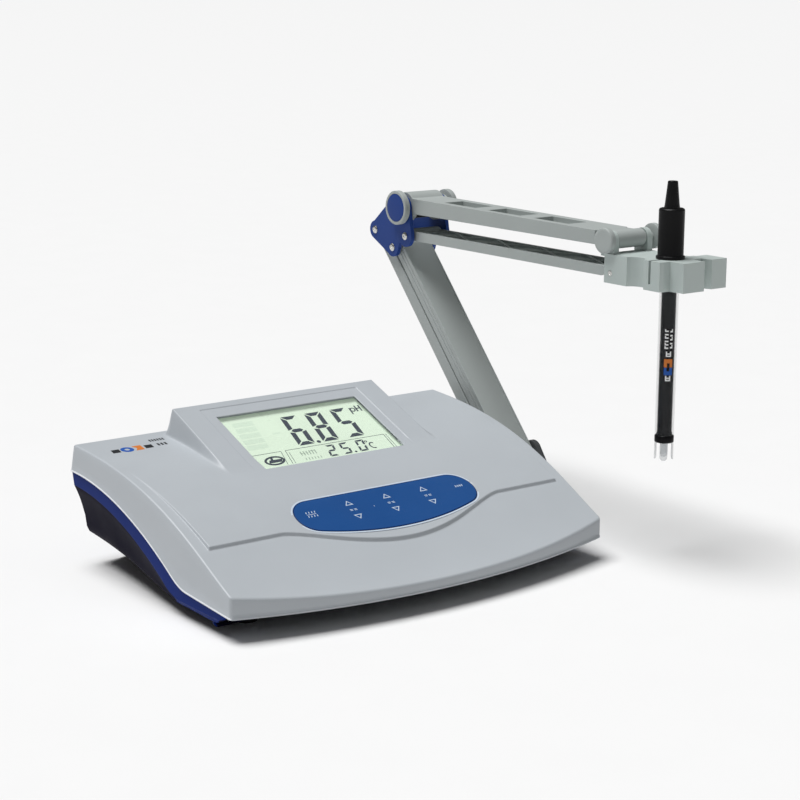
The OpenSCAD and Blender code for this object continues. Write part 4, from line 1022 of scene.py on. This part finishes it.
def electrode():
    def upright(node, profile, segments):
        turned(node, [(profile, (ARM_X, ELECTRODE_Y, box_mm(node)[0][2]), UP)], segments)

    def height(node):
        low, high = box_mm(node)
        return high[2] - low[2]

    top = height("electrode_cap")
    cap = [(9.0, 0.02), (9.3, 0.25), (9.3, 1.5), (9.1, 1.9), (8.5, 2.2), (8.3, 2.7), (8.3, top - 1.6),
           (8.15, top - 1.0), (7.8, top - 0.5), (7.3, top - 0.25), (6.9, top - 0.3), (6.6, top - 0.6),
           (6.2, top - 0.6), (6.0, top - 0.1), (5.0, top)]
    upright("electrode_cap", cap, 80)
    top = height("electrode_boot")
    boot = [(1.7, -0.5), (5.0, -0.5), (5.0, 0.6), (4.85, 1.4), (4.7, 2.4), (3.3, top - 1), (3.2, top - 0.4),
            (2.9, top - 0.05), (2.2, top), (1.85, top - 0.15), (1.7, top - 0.6), (1.7, -0.5)]
    upright("electrode_boot", boot, 64)
    low, high = box_mm("electrode_tube")
    radius, top = (high[0] - low[0]) / 2, height("electrode_tube")
    bore = radius - 1.1
    tube = [(bore, 0.2), (radius - 0.9, 0), (radius - 0.2, 0), (radius, 0.2), (radius, top), (bore, top),
            (bore, 0.2)]
    upright("electrode_tube", tube, 80)
    top = height("electrode_core")
    core = [(radius - 1.2, 0), (radius - 1.2, 1.4), (4.95, 1.9), (4.75, 2.4), (4.65, 3.4), (4.6, top)]
    upright("electrode_core", core, 64)
    tip(box_mm("electrode_tip")[0][2], box_mm("electrode_core")[0][2], radius)
    label(radius)


def tip(low_z, collar_top, radius):
    """Dark collar, four clear guard prongs with rounded ends, and the glass bulb on its stem."""
    body = BODY_OF["electrode_tip"]
    at = (ARM_X, ELECTRODE_Y, 0)
    collar_z = collar_top - 4.5
    edge = radius + 0.05
    collar = [(1.6, collar_z), (5.6, collar_z), (5.9, collar_z + 0.3), (radius, collar_z + 0.5),
              (edge, collar_z + 0.9), (edge, collar_top - 0.4), (radius - 0.2, collar_top), (1.6, collar_top),
              (1.6, collar_z)]
    obj = lathe("look_electrode_collar", collar, at, UP, FINISH["black_plastic"], body, "black_plastic", 64)
    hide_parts("electrode_tip")
    verts, faces = [], []
    for quarter in range(4):
        middle = math.pi / 4 + quarter * math.pi / 2
        rows = []
        for turn in np.linspace(-PRONG_HALF, PRONG_HALF, 7):
            round_off = 1.6 * (abs(turn) / PRONG_HALF) ** 3
            end_z, edge_z = low_z + round_off, low_z + 0.3 + round_off
            column = [(radius, collar_z + 0.2), (radius, edge_z), (radius - 0.3, end_z), (radius - 0.8, end_z),
                      (radius - 1.1, edge_z), (radius - 1.1, collar_z + 0.2)]
            ring = [(ARM_X + r * math.cos(middle + turn), ELECTRODE_Y + r * math.sin(middle + turn), z)
                    for r, z in column]
            add_ring(verts, rows, ring)
        faces += rows_of_quads(rows, True) + capped(rows)
    add_object("look_electrode_prongs", verts, faces, GUARD, body, "tube_clear", 40)
    bulb = [(1.4, collar_z + 0.3), (1.4, low_z + 8.2), (1.5, low_z + 7.6)]
    turns = [math.radians(a) for a in range(140, 9, -13)]
    bulb += [(2.3 * math.sin(a), low_z + 5.4 - 2.5 * math.cos(a)) for a in turns]
    lathe("look_electrode_bulb", bulb, at, UP, GLASS, body, "tube_clear", 48)


def label(radius):
    """Generic printed marks on the tube: rows of small strokes, an orange and a blue field."""
    facing = math.radians(-90 - 36)

    def on_tube(u, v, w):
        turn = facing + u / radius
        return ARM_X + (radius + w) * math.cos(turn), ELECTRODE_Y + (radius + w) * math.sin(turn), v

    def field(u0, u1, z0, z1):
        across = [(u, z0) for u in np.linspace(u0, u1, 8)]
        return across + [(u, z1) for u, _ in reversed(across)]

    white = [field(-2.7, -0.3, 142.1 + 2.2 * i, 143.0 + 2.2 * i) for i in range(6)]
    white += [field(-2.7, -2.0, 142.1 + 2.2 * i, 143.9 + 2.2 * i) for i in (0, 1, 3, 5)]
    white += [field(0.8, 2.4, 142.4 + 2.6 * i, 143.4 + 2.6 * i) for i in range(5)]
    white += [field(1.8, 2.4, 142.4 + 2.6 * i, 144.6 + 2.6 * i) for i in (0, 2, 4)]
    for z in (136.9, 121.0):
        white += [field(-1.7, 1.7, z, z + 0.8), field(-1.7, 1.7, z + 1.5, z + 2.3),
                  field(-1.7, -0.9, z, z + 3.5), field(0.9, 1.7, z, z + 3.5)]
    orange = [field(-2.7, 2.7, 132.7, 135.4), field(-2.7, -0.7, 130.0, 132.7), field(1.0, 2.7, 130.0, 132.7)]
    blue = [field(-2.7, 2.7, 124.9, 127.4), field(-2.7, -1.0, 127.4, 129.8), field(0.9, 2.7, 127.4, 129.8)]
    for name, shapes, colour in (("white", white, INK_LABEL), ("orange", orange, INK_ORANGE),
                                 ("blue", blue, INK_BLUE)):
        plates("label_" + name, shapes, on_tube, -0.05, 0.03, colour, BODY_OF["electrode_tube"])


# Pieces that keep the CAD's shape, with the width of their rounded edges.
CARRIED = {"rear_panel": 0.3, "mains_inlet": 0.5, "inlet_pins": 0.3, "power_switch_frame": 0.4,
           "power_rocker": 0.35, "fuse_holder": 0.5, "fuse_cap": 0.4, "bnc_socket": 0.2,
           "reference_terminal": 0.3, "terminal_nut": 0.3, "probe_socket": 0.5, "arm_bracket": 0.6,
           "arm_turret": 0.7, "elbow_plate_left": 0.55, "elbow_plate_right": 0.55, "upper_top_link": 0.6,
           "upper_lower_link": 0.35, "clamp_head": 0.7, "clamp_screw": 0.25, "rubber_feet": 0.5}

upper_case()
lower_case()
display()
keypad()
deck_prints()
elbow()
lower_link("lower_front_link", BASE_FRONT_PIN, ELBOW_FRONT_PIN, 1.15, 5.45, True)
lower_link("lower_rear_link", BASE_REAR_PIN, ELBOW_REAR_PIN, -1.65, 4.85, False)
head()
electrode()
for carried, edge_width in CARRIED.items():
    from_cad(carried, edge_width)


# ---- stage ----


def sun(name, source, strength, spread):
    """Soft parallel light that comes from the given direction."""
    light = bpy.data.lights.new(name, "SUN")
    light.energy = strength
    light.angle = math.radians(spread)
    obj = bpy.data.objects.new(name, light)
    obj.rotation_mode = "QUATERNION"
    obj.rotation_quaternion = Vector(source).to_track_quat("Z", "Y")
    bpy.context.scene.collection.objects.link(obj)


def studio():
    size = 60
    corners = [(-size, -size, 0), (size, -size, 0), (size, size, 0), (-size, size, 0)]
    mesh = bpy.data.meshes.new("floor")
    mesh.from_pydata(corners, [], [(0, 1, 2, 3)])
    floor = bpy.data.objects.new("floor", mesh)
    floor.location.z = -0.0002
    bpy.context.scene.collection.objects.link(floor)
    mesh.materials.append(moulded("floor_paper", (0.85, 0.85, 0.85), (0.8, 0.9), 400, 0.02, 0.004, 0.2))
    sun("key", (-0.18, 0.15, 0.8), 3.3, 36)
    world = bpy.data.worlds.new("studio")
    world.use_nodes = True
    background = world.node_tree.nodes["Background"]
    background.inputs["Color"].default_value = (1, 1, 1, 1)
    background.inputs["Strength"].default_value = 0.12
    bpy.context.scene.world = world
    bpy.context.scene.view_settings.view_transform = "Standard"


def camera():
    """The camera stands front left and a little above, with a long lens."""
    azimuth, elevation, roll = math.radians(-36.54), math.radians(12.53), math.radians(0.22)
    target, distance = Vector((160.24, 162.66, 60)) * MM, 1.4372
    back = Vector((math.sin(azimuth) * math.cos(elevation), -math.cos(azimuth) * math.cos(elevation),
                   math.sin(elevation)))
    data = bpy.data.cameras.new("camera")
    data.lens = 84.97
    data.sensor_width = 36
    obj = bpy.data.objects.new("camera", data)
    obj.matrix_world = (Matrix.Translation(target + back * distance)
                        @ (back.to_track_quat("Z", "Y").to_matrix().to_4x4() @ Matrix.Rotation(roll, 4, "Z")))
    bpy.context.scene.collection.objects.link(obj)
    bpy.context.scene.camera = obj


def paint_nodes():
    """Every CAD node that still shows gets its slot's material."""
    for name, obj in frame["nodes"].items():
        obj.data.materials.clear()
        obj.data.materials.append(FINISH[SLOT_OF[name]])


paint_nodes()
studio()
camera()
